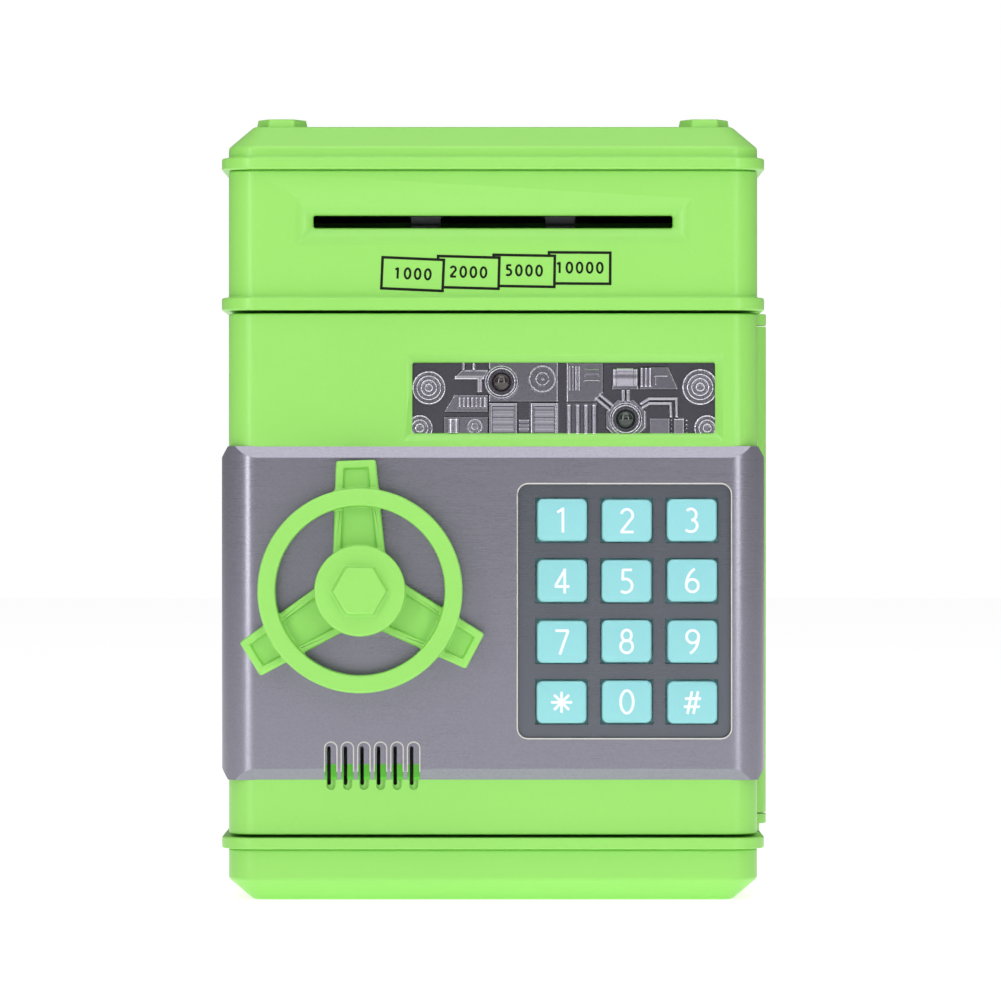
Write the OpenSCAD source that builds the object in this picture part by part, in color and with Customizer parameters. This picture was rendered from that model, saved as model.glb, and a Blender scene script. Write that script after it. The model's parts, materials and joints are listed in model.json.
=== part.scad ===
// Toy safe with a motor that draws in banknotes, a coin slot, a keypad lock and a handwheel.
// The origin is the centre of the case's footprint on the surface that it stands on.
// +Z is up, the door faces -Y and its hinge is on the +X side.

/* [Case] */
// Width of the case between its side walls
case_w = 129; // [125:1:133]
// Depth of the case, from the door's face to the back wall
case_d = 106; // [106:1:112]
// Thickness of the moulded walls
wall = 2.2; // [2:0.1:2.4]
// Radius of the upright corners
corner_r = 7; // [5:0.5:9]
// How far the three rims stand out from the walls
rim_out = 1.7; // [1:0.1:2]
// Width and height of the sloping edges at the top and the bottom
slope_w = 6; // [4:0.5:7]
slope_h = 5.3; // [4:0.1:6]

/* [Door] */
// Depth of the door
door_d = 25.7; // [25.7:0.1:26]
// Gap above and below the door
door_gap = 0.7; // [0.5:0.1:1]
// Radius of the hinge barrel
barrel_r = 4.2; // [3.8:0.1:4.4]
// Radius of the hinge pin
pin_r = 1.25; // [1:0.05:1.5]
// How far the silver band stands out from the door
band_out = 1.7; // [1.4:0.1:1.8]

/* [Keypad] */
// Width and height of a key
key_w = 12.1; // [11:0.1:12.4]
key_h = 10.25; // [9.5:0.05:10.6]
// Distance between keys across and down
key_pitch_x = 15.8; // [15.6:0.1:16]
key_pitch_z = 14.7; // [14.6:0.1:14.8]
// How far a key travels
key_travel = 1.2; // [0.8:0.1:1.2]

/* [Handwheel] */
// Outer and inner radius of the handwheel's ring
ring_r = 24.7; // [23:0.1:25]
ring_hole_r = 20.4; // [19:0.1:21]
// Length of a spoke from the wheel's centre
spoke_r = 31.4; // [29:0.1:32]
// Angle of the first spoke above the horizontal
spoke_angle = 92; // [85:1:95]

/* [Feeder] */
// Radius of the rubber rollers that draw in a banknote
feed_roller_r = 6; // [5.8:0.1:6]
// Radius of the rollers that press on it
pinch_roller_r = 4; // [3.6:0.1:4]
// Teeth of the motor's pinion and of the gear that it turns
pinion_teeth = 10; // [10:1:10]
gear_teeth = 40; // [40:1:40]

/* [Hidden] */
$fn = 64;
e = 0.01;

// Heights of the stacked sections
tray_top = 12.6;
rim_base_z = 12.7;
base_top_z = 15.5;
box_z = 15.6;
box_top_z = 143.5;
housing_z = 143.6;
housing_rim_h = 3.2;
housing_top_z = 177.7;
cap_z = 177.8;
cap_rim_h = 3;
cap_top_z = 188.6;
boss_h = 2;
boss_r = 6.4;
floor_z = box_z + wall;
deck_z = housing_z + wall;

// Depths, from the front to the back
half_w = case_w / 2;
front_y = -case_d / 2;
back_y = case_d / 2;
inner_x = half_w - wall;
front_in = front_y + wall;
door_back = front_y + door_d;
box_front = door_back + 0.8;
liner_t = 1.7;
liner_y = door_back - 0.1 - liner_t;

// Hinge axis
hinge_x = half_w - 1.1;
hinge_y = door_back + 0.4;
barrel_z0 = 20.3;
barrel_z1 = 140.4;
running = 0.05;

door_z0 = base_top_z + door_gap;
door_z1 = housing_z - door_gap;

// Silver band and the pan of its keypad
band_z0 = 29.5;
band_z1 = 110.6;
band_bevel = 2.8;
band_back = -34;
band_y = front_y - band_out;
pan_x0 = 5.9;
pan_x1 = 57.9;
pan_z0 = 39.6;
pan_z1 = 101.5;
pan_wall = 1.2;
pan_corner = 2.6;
pan_floor_y = front_y;
pan_back_y = pan_floor_y + 1.6;
// Back of the flanges of the keys
key_back = pan_back_y + 1.6;
key_x0 = 16.7;
key_z0 = 92.6;
key_front = front_y - 2.6;
key_gap = 0.4;
key_names = ["1", "2", "3", "4", "5", "6", "7", "8", "9", "star", "0", "hash"];

// Window over the relief plate, and the two lamps in it
window_x0 = -19.6;
window_x1 = 54;
window_z0 = 113.8;
window_z1 = 130.9;
lamp_red = [2.05, 126.2];
lamp_green = [32.3, 117.2];
lamp_r = 2.5;
plate_y = front_in + 0.1;
lamp_board_y = -45.2;

// Boards
board_y = -47.45;
board_t = 1.6;

// Handwheel, its spindle and the lock
wheel_x = -32;
wheel_z = 75.7;
spindle_r = 3.95;
disc_r = 9;
solenoid_y = -36.8;
plunger_r = 2;
plunger_z = 86.2;
plunger_drop = 4;
solenoid_z0 = 92;
solenoid_z1 = 110;

// Speaker behind its slots
speaker_x = -29.3;
speaker_z = 33;
slot_pitch = 4.02;
slot_z0 = 27.1;
slot_z1 = 38.8;
slot_count = 6;
slit_w = 0.9;
slit_dx = -0.5;
slit_z0 = slot_z0 + 1.1;
slit_z1 = slot_z1 - 1.1;

// Banknote slot and the feeder behind it
bill_x = 43.7;
bill_z0 = 163.7;
bill_z1 = 166.7;
funnel_x = 48.1;
funnel_z0 = 159.5;
funnel_z1 = 170.8;
feed_y = -36;
nip_z = 165.2;
feed_z = nip_z - 0.1 - feed_roller_r;
pinch_z = nip_z + 0.1 + pinch_roller_r;
roller_x = 16.5;
roller_w = 7.3;
shaft_r = 1.5;
pinch_shaft_r = 1.25;
cheek_x = 46;
cheek_t = 2;
gear_module = 0.6;
gear_x = 48.5;
gear_w = 4;
motor_z = 154;
gear_centres = gear_module * (pinion_teeth + gear_teeth) / 2;
motor_y = feed_y + sqrt(pow(gear_centres, 2) - pow(feed_z - motor_z, 2));
// Angle of the pinion's centre seen from the feed gear's, in the plane across X
mesh_angle = atan2(motor_z - feed_z, motor_y - feed_y);

// Coin slot in the top
coin_y = 8;
coin_l = 34;
coin_w = 4.6;

// Battery bay in the back wall, and the three cells that lie head to tail in it
bay_x = 28.5;
bay_z0 = 29;
bay_z1 = 77;
cell_r = 7.1;
cell_l = 49.2;
cell_nub = 1.3;
cell_y = 42.9;
cell_zs = [37.9, 53, 68.1];
contact_x = bay_x - 0.9;
contact_t = 0.4;
cell_tip = contact_x - 0.1;
tab_z = 82;

// Places of the screws
base_screw_at = [[-52, -42], [52, -42], [-52, -14], [52, -14], [-52, 42], [52, 42]];
upper_screw_at = [[-57, -18], [57, -18], [-56.5, 44.5], [56.5, 44.5]];
liner_screw_at = [[-57, 24.5], [56, 24.5], [-57, 135.5], [56, 136.5]];
board_screw_at = [[0.8, 36.2], [0.8, 104.8], [45, 35.6], [45, 105.4]];
lamp_screw_at = [[-8, 117], [44, 127]];
feeder_screw_at = [[-42, -42], [42, -42], [-42, -17]];

// Routes of the leads, in millimetres
case_route = [[28.6, 38, 60], [33, 38, 61.5], [40, 40, 78], [52, 43, 92], [58, 40, 110], [59, 20, 124],
    [59, 2, 128], [59, -9, 124], [58.6, -14, 118], [57.5, -16.5, 113]];
motor_route = [[58, 40, 110], [56, 38, 124], [50, 36, 136], [44, 34.5, 144], [41, 30, 150], [38, 14, 152],
    [34, 0, 152], [26, -8, 152.5], [18.5, -12, 153], [16, -17, 153.6], [17, -21.4, 154], [21.5, -21.9, 154]];
hinge_route = [[57.4, -16.7, 112.6], [56, -19, 108], [55, -22, 104], [54, -25, 102], [52.8, -27.2, 102.5],
    [50, -29.6, 106], [46, -33, 108.5]];
door_route = [[46, -33, 108.5], [40, -37, 110], [33, -40, 108], [28, -41.5, 102], [26, -43, 97],
    [25, -44, 95.2]];
lamp_route = [[10, -42.9, 116], [8, -41, 112], [8, -40.5, 107], [9, -42, 103], [10, -44.2, 101]];
speaker_route = [[-22, -42, 36], [-12, -40, 42], [-4, -41, 50], [3, -42.5, 53], [8, -43.6, 54]];
solenoid_route = [[-26, -36.5, 111.2], [-18, -37, 112], [-8, -39, 108], [2, -41, 98], [10, -43.6, 93]];

lime = [0.42, 0.85, 0.24];
silver = [0.56, 0.55, 0.6];
turquoise = [0.42, 0.86, 0.86];
steel = [0.7, 0.7, 0.72];
black = [0.08, 0.08, 0.09];
board_green = [0.05, 0.3, 0.14];

// ---------- shapes ----------

// Points of a quarter arc about c from angle a, n steps
function quarter(c, r, a, n = 12) =
    [for (i = [0:n]) let (t = a + 90 * i / n) [c[0] + r * cos(t), c[1] + r * sin(t)]];

// Outline of a rectangle from (x0, y0) to (x1, y1), with radius rf at the front corners and rb at the back
function outline(x0, y0, x1, y1, rf, rb) = concat(
    rb > 0 ? quarter([x1 - rb, y1 - rb], rb, 0) : [[x1, y1]],
    rb > 0 ? quarter([x0 + rb, y1 - rb], rb, 90) : [[x0, y1]],
    rf > 0 ? quarter([x0 + rf, y0 + rf], rf, 180) : [[x0, y0]],
    rf > 0 ? quarter([x1 - rf, y0 + rf], rf, 270) : [[x1, y0]]);

// The case's outline, grown by g
module case_plan(g = 0) {
    polygon(outline(-half_w - g, front_y - g, half_w + g, back_y + g, corner_r + g, corner_r + g));
}

// The flat inside the sloping edges, grown by g
module slope_plan(g) {
    x = half_w - slope_w + g;
    polygon(outline(-x, front_y + slope_w - g, x, back_y - slope_w + g, 3, 3));
}

// A plate of the case's outline, grown by g, from z0 to z1
module slab(z0, z1, g = 0) {
    translate([0, 0, z0]) linear_extrude(z1 - z0) case_plan(g);
}

module box_from(p, q) {
    translate(p) cube(q - p);
}

// A cylinder along X, Y or Z between two places on that axis
module rod_x(r, x0, x1, y, z) {
    translate([x0, y, z]) rotate([0, 90, 0]) cylinder(r = r, h = x1 - x0);
}

module rod_y(r, y0, y1, x, z) {
    translate([x, y0, z]) rotate([-90, 0, 0]) cylinder(r = r, h = y1 - y0);
}

module rod_z(r, z0, z1, x, y) {
    translate([x, y, z0]) cylinder(r = r, h = z1 - z0);
}

// Turns a flat drawing's X to Y, its Y to Z and its height to X
module across_x(x, y, z) {
    translate([x, y, z]) multmatrix([[0, 0, 1, 0], [1, 0, 0, 0], [0, 1, 0, 0], [0, 0, 0, 1]]) children();
}

// A pan-head screw: its head from 0 down to -h, its shank upwards along +Z, with a crossed slot
module screw(shank_r, length, head_r, head_h) {
    difference() {
        union() {
            translate([0, 0, -e]) cylinder(r = shank_r, h = length + e);
            translate([0, 0, -head_h]) cylinder(r = head_r, h = head_h);
        }
        for (a = [0, 90])
            translate([0, 0, -head_h]) rotate(a) cube([head_r * 1.3, head_r * 0.3, head_h], center = true);
    }
}

// Involute gear in the XY plane: m is the module and n the number of teeth, and the flanks stand back by play
function inv(a) = tan(a) * 180 / PI - a;
function flank(m, n, r, play) =
    let (rp = m * n / 2, rb = rp * cos(20), half = 90 / n - play / rp * 90 / PI)
    half + inv(20) - (r > rb ? inv(acos(rb / r)) : 0);
function tooth(m, n, k, play) =
    let (rp = m * n / 2, rf = rp - 1.25 * m, ra = rp + m, rb = max(rf, rp * cos(20)),
        rs = [rf, rb, rb + (ra - rb) * 0.3, rb + (ra - rb) * 0.6, ra])
    [for (s = [-1, 1], i = [0:4]) let (j = s < 0 ? i : 4 - i, a = 360 * k / n + s * flank(m, n, rs[j], play))
        rs[j] * [cos(a), sin(a)]];
module gear_plan(m, n, play = 0.12) {
    polygon([for (k = [0:n - 1]) each tooth(m, n, k, play)]);
}

// A smooth route through points, with k steps between neighbours
function spline(a, b, c, d, t) = 0.5 * (2 * b + (c - a) * t + (2 * a - 5 * b + 4 * c - d) * t * t
    + (3 * b - a - 3 * c + d) * t * t * t);
function route(p, k = 4) = let (n = len(p) - 1) concat(
    [for (i = [0:n - 1], j = [0:k - 1])
        spline(p[max(i - 1, 0)], p[i], p[i + 1], p[min(i + 2, n)], j / k)], [p[n]]);

// A tube of radius r swept along a list of points
module lead(points, r, sides = 8) {
    p = route(points);
    n = len(p) - 1;
    guide = [0.31, 0.92, -0.24];
    rings = [for (i = [0:n]) let (t = p[min(i + 1, n)] - p[max(i - 1, 0)], u = cross(t, guide),
        w = cross(t, u), u1 = u / norm(u), w1 = w / norm(w)) for (k = [0:sides - 1])
        p[i] + r * (u1 * cos(360 * k / sides) + w1 * sin(360 * k / sides))];
    faces = concat([[for (k = [0:sides - 1]) k]],
        [for (i = [0:n - 1], k = [0:sides - 1]) [i * sides + k, (i + 1) * sides + k,
            (i + 1) * sides + (k + 1) % sides, i * sides + (k + 1) % sides]],
        [[for (k = [0:sides - 1]) n * sides + sides - 1 - k]]);
    polyhedron(rings, faces);
}

// ---------- case ----------

// Solid block of the base's outer shape, grown by g
module base_form(g, z0) {
    hull() {
        translate([0, 0, z0]) linear_extrude(e) slope_plan(g);
        slab(slope_h, slope_h + e, g);
    }
    slab(slope_h, tray_top, g);
}

module base_tray() {
    color(lime) difference() {
        intersection() {
            base_form(0, 0);
            union() {
                difference() {
                    translate([0, 0, 25]) cube([case_w + 2, case_d + 2, 52], center = true);
                    intersection() {
                        base_form(-wall, wall);
                        translate([0, 0, 25 + wall]) cube([case_w, case_d, 50], center = true);
                    }
                    slab(slope_h + 1, tray_top + 1, -wall);
                }
                for (p = base_screw_at) rod_z(4.6, wall - e, tray_top, p[0], p[1]);
            }
        }
        for (p = base_screw_at) {
            rod_z(1.7, -1, tray_top + 1, p[0], p[1]);
            rod_z(3.3, -1, slope_h, p[0], p[1]);
        }
    }
}

module base_top() {
    color(lime) difference() {
        union() {
            slab(rim_base_z, base_top_z, rim_out);
            difference() {
                slab(rim_base_z - 2, rim_base_z + e, -wall - 0.2);
                slab(rim_base_z - 3, rim_base_z, -wall - 1.6);
            }
        }
        // The front screws bite here, and the others pass through to the safe box
        for (i = [0:5])
            rod_z(i < 2 ? 1.3 : 1.7, rim_base_z - 1, base_top_z + 1, base_screw_at[i].x, base_screw_at[i].y);
    }
}

module safe_box() {
    color(lime) difference() {
        union() {
            difference() {
                translate([0, 0, box_z]) linear_extrude(box_top_z - box_z)
                    polygon(outline(-half_w, box_front, half_w, back_y, 0, corner_r));
                translate([0, 0, floor_z]) linear_extrude(box_top_z)
                    polygon(outline(-inner_x, box_front - 1, inner_x, back_y - wall, 0, corner_r - wall));
            }
            // Frame that the door shuts against, and the wider strike that the latch turns behind
            box_from([-inner_x - e, box_front, floor_z], [-inner_x + 3.5, box_front + wall, box_top_z]);
            box_from([-inner_x - e, box_front, 60], [-inner_x + 6, box_front + wall, 92]);
            // Pads under the upper housing, at the screws
            for (p = upper_screw_at)
                intersection() {
                    translate([p[0], p[1], box_top_z - wall / 2]) cube([16, 16, wall], center = true);
                    box_from([-inner_x - e, box_front, 0], [inner_x + e, back_y - wall + e, box_top_z]);
                }
            // Posts that take the base's screws
            for (i = [2:5]) rod_z(3.6, floor_z - e, floor_z + 9, base_screw_at[i][0], base_screw_at[i][1]);
            // Boss that takes the battery cover's screw
            rod_y(3.2, back_y - wall - 7, back_y - wall + e, 0, tab_z);
            // Knuckles at both ends of the hinge, the lower one on a thinner foot
            rod_z(2.6, box_z, box_z + 2 + e, hinge_x, hinge_y);
            for (z = [[box_z + 2, barrel_z0 - 0.3], [barrel_z1 + 0.3, box_top_z]]) {
                rod_z(barrel_r, z[0], z[1], hinge_x, hinge_y);
                box_from([hinge_x - 3, hinge_y, z[0]], [half_w, hinge_y + 6, z[1]]);
            }
        }
        // Room for the door's barrel
        rod_z(barrel_r + 0.5, barrel_z0 - 0.3, barrel_z1 + 0.3, hinge_x, hinge_y);
        rod_z(pin_r + running, box_z - 1, box_top_z + 1, hinge_x, hinge_y);
        for (p = upper_screw_at) rod_z(1.7, box_top_z - 3, box_top_z + 1, p[0], p[1]);
        for (i = [2:5]) rod_z(1.3, box_z - 1, floor_z + 8, base_screw_at[i][0], base_screw_at[i][1]);
        // Opening of the battery bay, and the seat of its cover's tab
        box_from([-bay_x, back_y - wall - 1, bay_z0], [bay_x, back_y + 1, bay_z1]);
        box_from([-7, back_y - 1.2, bay_z1 - 1], [7, back_y + 1, tab_z + 4]);
        rod_y(1.2, back_y - wall - 6, back_y, 0, tab_z);
    }
}

// Funnel round the banknote slot, as a solid to cut away
module bill_funnel() {
    hull() {
        box_from([-funnel_x, front_y - 0.1, funnel_z0], [funnel_x, front_y - 0.05, funnel_z1]);
        box_from([-bill_x, front_y + 2.6, bill_z0], [bill_x, front_y + 2.65, bill_z1]);
    }
    box_from([-bill_x, front_y + 2, bill_z0], [bill_x, front_y + 6, bill_z1]);
}

module upper_housing() {
    color(lime) difference() {
        union() {
            slab(housing_z, housing_z + housing_rim_h, rim_out);
            slab(housing_z + housing_rim_h - e, housing_top_z);
        }
        difference() {
            slab(deck_z, housing_top_z + 1, -wall);
            // Thicker wall round the slot
            box_from([-funnel_x - 1, front_y, funnel_z0 - 1], [funnel_x + 1, front_in + 1.2, funnel_z1 + 1]);
        }
        bill_funnel();
        // Opening that money drops through
        box_from([-46, -9, housing_z - 1], [46, 38, deck_z + 1]);
        for (p = upper_screw_at) rod_z(1.7, housing_z - 1, deck_z + 1, p[0], p[1]);
        for (p = feeder_screw_at) rod_z(1, housing_z - 1, deck_z + 1, p[0], p[1]);
    }
}

// Solid block of the cap's outer shape above its rim, grown by g
module cap_form(g, z1) {
    hull() {
        slab(cap_top_z - slope_h - e, cap_top_z - slope_h, g);
        translate([0, 0, z1 - e]) linear_extrude(e) slope_plan(g);
    }
}

module top_cap() {
    boss_at = [for (x = [-1, 1], y = [-1, 1]) [x * 51.7, y * 40.2]];
    color(lime) difference() {
        union() {
            difference() {
                union() {
                    slab(cap_z, cap_z + cap_rim_h, rim_out);
                    slab(cap_z + cap_rim_h - e, cap_top_z - slope_h, 0);
                    cap_form(0, cap_top_z);
                }
                slab(cap_z - 1, cap_top_z - slope_h, -wall);
                cap_form(-wall, cap_top_z - wall);
            }
            // Hexagon heads on the corners
            for (p = boss_at)
                translate([p[0], p[1], cap_top_z - e]) cylinder(r1 = boss_r, r2 = boss_r - 0.4, h = boss_h,
                    $fn = 6);
            // Raised edge of the coin slot
            translate([0, coin_y, cap_top_z - e]) linear_extrude(1.2)
                square([coin_l + 8, coin_w + 7], center = true);
            // Lip inside the housing, and posts down to the screws
            difference() {
                union() {
                    slab(cap_z - 2, cap_z + e, -wall - 0.2);
                    slab(cap_z, cap_z + 1.5, -wall + e);
                }
                slab(cap_z - 3, cap_z + 2, -wall - 1.6);
            }
            for (p = upper_screw_at) rod_z(3.4, deck_z + 0.1, cap_top_z - wall + e, p[0], p[1]);
        }
        for (p = upper_screw_at) rod_z(1.3, deck_z - 1, deck_z + 20, p[0], p[1]);
        translate([0, coin_y, cap_top_z]) cube([coin_l, coin_w, 12], center = true);
    }
}

module hinge_pin() {
    color(steel) rod_z(pin_r, box_z + 0.4, box_top_z - 0.3, hinge_x, hinge_y);
}

// ---------- batteries ----------

module battery_box() {
    color(black) difference() {
        box_from([-bay_x - 1.4, 34, bay_z0 - 1.2], [bay_x + 1.4, back_y - wall, bay_z1 + 1.2]);
        box_from([-bay_x + 0.4, 35.4, bay_z0 + 0.4], [bay_x - 0.4, back_y, bay_z1 - 0.4]);
        rod_x(1.2, bay_x - 1, bay_x + 2, 38, 60);
    }
}

module battery_cells() {
    color([0.75, 0.6, 0.2]) for (i = [0:2]) mirror([i % 2, 0, 0]) {
        rod_x(cell_r, cell_tip - cell_nub - cell_l, cell_tip - cell_nub, cell_y, cell_zs[i]);
        rod_x(2.7, cell_tip - cell_nub - e, cell_tip, cell_y, cell_zs[i]);
    }
}

module battery_contacts() {
    spring_l = 2 * contact_x - cell_l - cell_nub - 0.2;
    color(steel) for (i = [0:2]) mirror([i % 2, 0, 0]) {
        for (x = [-contact_x - contact_t, contact_x])
            box_from([x, cell_y - 5, cell_zs[i] - 6], [x + contact_t, cell_y + 5, cell_zs[i] + 6]);
        // Outer shape of the coil spring
        translate([-contact_x - e, cell_y, cell_zs[i]]) rotate([0, 90, 0]) difference() {
            cylinder(r1 = 4, r2 = 2.6, h = spring_l);
            translate([0, 0, -1]) cylinder(r = 1.8, h = spring_l + 2);
        }
    }
}

module battery_cover() {
    c = 0.3;
    color(lime) difference() {
        union() {
            box_from([-bay_x + c, back_y - wall + 0.15, bay_z0 + c], [bay_x - c, back_y, bay_z1 - c]);
            box_from([-7 + c, back_y - 1.1, bay_z1 - 2], [7 - c, back_y, tab_z + 4 - c]);
            // Grip ribs
            for (i = [0:4]) box_from([-9, back_y - e, 36 + 2.4 * i], [9, back_y + 0.6, 37 + 2.4 * i]);
        }
        rod_y(1.5, back_y - 3, back_y + 1, 0, tab_z);
    }
}

module battery_cover_screw() {
    color(steel) translate([0, back_y + 0.05, tab_z]) rotate([90, 0, 0]) screw(1.1, 7.5, 2.6, 1);
}

// ---------- banknote feeder ----------

// Windows for the two rollers, from reach in front of the shaft to reach behind it
module roller_windows(reach, z0, z1) {
    w = roller_w / 2 + 0.8;
    for (x = [-roller_x, roller_x]) box_from([x - w, feed_y - reach, z0], [x + w, feed_y + reach, z1]);
}

module feeder_frame() {
    bed = [bill_z0 - 1.8, bill_z0 - 0.3];
    color(black) difference() {
        union() {
            for (s = [-1, 1]) box_from([s > 0 ? cheek_x : -cheek_x - cheek_t, -46, deck_z + 0.1],
                [s > 0 ? cheek_x + cheek_t : -cheek_x, -13, 174]);
            box_from([-cheek_x - e, front_in + 1.4, bed[0]], [cheek_x + e, -12, bed[1]]);
            for (p = feeder_screw_at)
                box_from([p[0] - 4 - e, p[1] - 4, deck_z + 0.1], [p[0] + 4 + e, p[1] + 4, deck_z + 2]);
        }
        roller_windows(7, bed[0] - 1, bed[1] + 1);
        rod_x(shaft_r + running, -60, 60, feed_y, feed_z);
        rod_x(pinch_shaft_r + running, -60, 60, feed_y, pinch_z);
        rod_x(1.5, 40, 60, motor_y, motor_z);
        rod_z(1.4, bed[0] - 1, bed[1] + 1, 0, -45);
        for (p = feeder_screw_at) rod_z(1.2, deck_z - 1, deck_z + 3, p[0], p[1]);
    }
}

module chute_cover() {
    color(black) difference() {
        box_from([-cheek_x + 0.05, front_in + 1.4, bill_z1 + 0.3], [cheek_x - 0.05, -12, bill_z1 + 1.8]);
        roller_windows(5, bill_z1 - 1, bill_z1 + 3);
        // Groove under the pinch shaft
        rod_x(pinch_shaft_r + 0.45, -60, 60, feed_y, pinch_z);
    }
}

module feed_motor() {
    color(steel) difference() {
        intersection() {
            rod_x(10, 20.5, cheek_x - 0.1, motor_y, motor_z);
            box_from([20, motor_y - 12, motor_z - 7.4], [50, motor_y + 12, motor_z + 7.4]);
        }
        rod_x(1 + running, 42, 50, motor_y, motor_z);
        rod_x(1.4, 20, 22, motor_y, motor_z);
    }
}

module motor_pinion() {
    color(steel) {
        rod_x(1, 42.5, gear_x + e, motor_y, motor_z);
        across_x(gear_x, motor_y, motor_z) rotate(mesh_angle + 180 + 180 / pinion_teeth)
            linear_extrude(gear_w) gear_plan(gear_module, pinion_teeth);
    }
}

module feed_shaft() {
    color(steel) rod_x(shaft_r, -50, gear_x + gear_w + 0.8, feed_y, feed_z);
}

// Two rubber rollers of radius r that grip a shaft at height z
module roller_pair(r, grip, z) {
    color(black) for (x = [-roller_x, roller_x]) difference() {
        rod_x(r, x - roller_w / 2, x + roller_w / 2, feed_y, z);
        rod_x(grip + 0.02, x - roller_w, x + roller_w, feed_y, z);
    }
}

module feed_rollers() {
    roller_pair(feed_roller_r, shaft_r, feed_z);
}

module feed_gear() {
    color([0.9, 0.9, 0.86]) difference() {
        across_x(gear_x, feed_y, feed_z) rotate(mesh_angle) linear_extrude(gear_w) difference() {
            gear_plan(gear_module, gear_teeth);
            for (i = [0:4]) rotate(72 * i) translate([6.8, 0]) circle(r = 2.2);
        }
        rod_x(shaft_r + 0.02, gear_x - 1, gear_x + gear_w + 1, feed_y, feed_z);
    }
}

module pinch_shaft() {
    color(steel) rod_x(pinch_shaft_r, -49.5, cheek_x + cheek_t + 0.2, feed_y, pinch_z);
}

module pinch_rollers() {
    roller_pair(pinch_roller_r, pinch_shaft_r, pinch_z);
}

module bill_sensor() {
    color(board_green) {
        box_from([-7, -48.6, bill_z0 - 3.2], [7, -41.5, bill_z0 - 2]);
        rod_z(1.2, bill_z0 - 2 - e, bill_z0 - 0.5, 0, -45);
        box_from([3, -47, bill_z0 - 4.6], [6.4, -43, bill_z0 - 3.2 + e]);
    }
}

// ---------- fasteners and leads of the case ----------

module base_screws() {
    color(steel) for (i = [0:5])
        translate([base_screw_at[i][0], base_screw_at[i][1], slope_h]) screw(1.25, i < 2 ? 9.9 : 19, 2.9, 2);
}

module upper_screws() {
    color(steel) for (p = upper_screw_at) translate([p[0], p[1], box_top_z - wall]) screw(1.25, 20, 2.9, 2);
}

module feeder_screws() {
    color(steel) for (p = feeder_screw_at)
        translate([p[0], p[1], deck_z + 2]) rotate([180, 0, 0]) screw(0.95, 3.8, 2.2, 1.3);
}

module case_leads() {
    color([0.75, 0.1, 0.1]) {
        lead(case_route, 0.9);
        lead(motor_route, 0.7);
    }
}

// ---------- door ----------

// Slots of the speaker, w wide, from y0 to y1, shifted by dx
module speaker_slots(w, y0, y1, dx = 0, z0 = slot_z0, z1 = slot_z1) {
    for (i = [0:slot_count - 1]) {
        x = speaker_x + (i - (slot_count - 1) / 2) * slot_pitch + dx;
        box_from([x - w / 2, y0, z0 + w / 2], [x + w / 2, y1, z1 - w / 2]);
        for (z = [z0 + w / 2, z1 - w / 2]) rod_y(w / 2, y0, y1, x, z);
    }
}

module door_shell() {
    color(lime) difference() {
        union() {
            difference() {
                translate([0, 0, door_z0]) linear_extrude(door_z1 - door_z0)
                    polygon(outline(-half_w, front_y, half_w, door_back, corner_r, 0));
                translate([0, 0, door_z0 + wall]) linear_extrude(door_z1 - door_z0 - 2 * wall)
                    polygon(outline(-inner_x, front_in, inner_x, door_back + 1, corner_r - wall, 0));
                // Clearance round the case's knuckles
                for (z = [[door_z0 - 1, barrel_z0], [barrel_z1, door_z1 + 1]])
                    rod_z(barrel_r + 0.5, z[0], z[1], hinge_x, hinge_y);
            }
            rod_z(barrel_r, barrel_z0, barrel_z1, hinge_x, hinge_y);
            // Bush of the spindle
            rod_y(7, front_in - e, -40, wheel_x, wheel_z);
            // Collar round the speaker
            intersection() {
                rod_y(15.8, front_in - e, -46, speaker_x, speaker_z);
                box_from([-inner_x, front_in - e, door_z0 + 1], [0, -46, 60]);
            }
            for (p = liner_screw_at) rod_y(3, front_in - e, liner_y - 0.1, p[0], p[1]);
            for (p = board_screw_at) rod_y(1.9, front_in - e, front_in + 3.3, p[0], p[1]);
            // Ledges that hold the solenoid
            for (z = [95, 104])
                box_from([wheel_x - 8, front_in - e, z], [wheel_x + 8, solenoid_y - 7.1, z + 2]);
        }
        rod_y(spindle_r + running, front_y - 1, -39, wheel_x, wheel_z);
        rod_y(14.5, front_in, -45, speaker_x, speaker_z);
        for (p = liner_screw_at) rod_y(1.2, front_in + 2, liner_y + 1, p[0], p[1]);
        for (p = board_screw_at) rod_y(0.9, front_in, front_in + 4, p[0], p[1]);
        rod_z(pin_r + running, barrel_z0 - 1, barrel_z1 + 1, hinge_x, hinge_y);
        // Window, with its sloping edge
        box_from([window_x0, front_y - 1, window_z0], [window_x1, front_in + 1, window_z1]);
        hull() {
            box_from([window_x0 - 2, front_y - 0.1, window_z0 - 2], [window_x1 + 2, front_y, window_z1 + 2]);
            box_from([window_x0, front_y + 1.2, window_z0], [window_x1, front_y + 1.3, window_z1]);
        }
        // Opening that the keypad's pan drops into
        box_from([pan_x0 - pan_wall - 0.3, front_y - 1, pan_z0 - pan_wall - 0.3],
            [pan_x1 + pan_wall + 0.3, front_in + 1, pan_z1 + pan_wall + 0.3]);
        // Speaker slots: a slit right through, and a shallow recess under the band
        speaker_slots(slit_w, front_y - 1, front_in + 1, slit_dx, slit_z0, slit_z1);
        speaker_slots(2.2, front_y - 1, front_y + 1.1, 0, slot_z0, slot_z0 + 5);
    }
}

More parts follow.
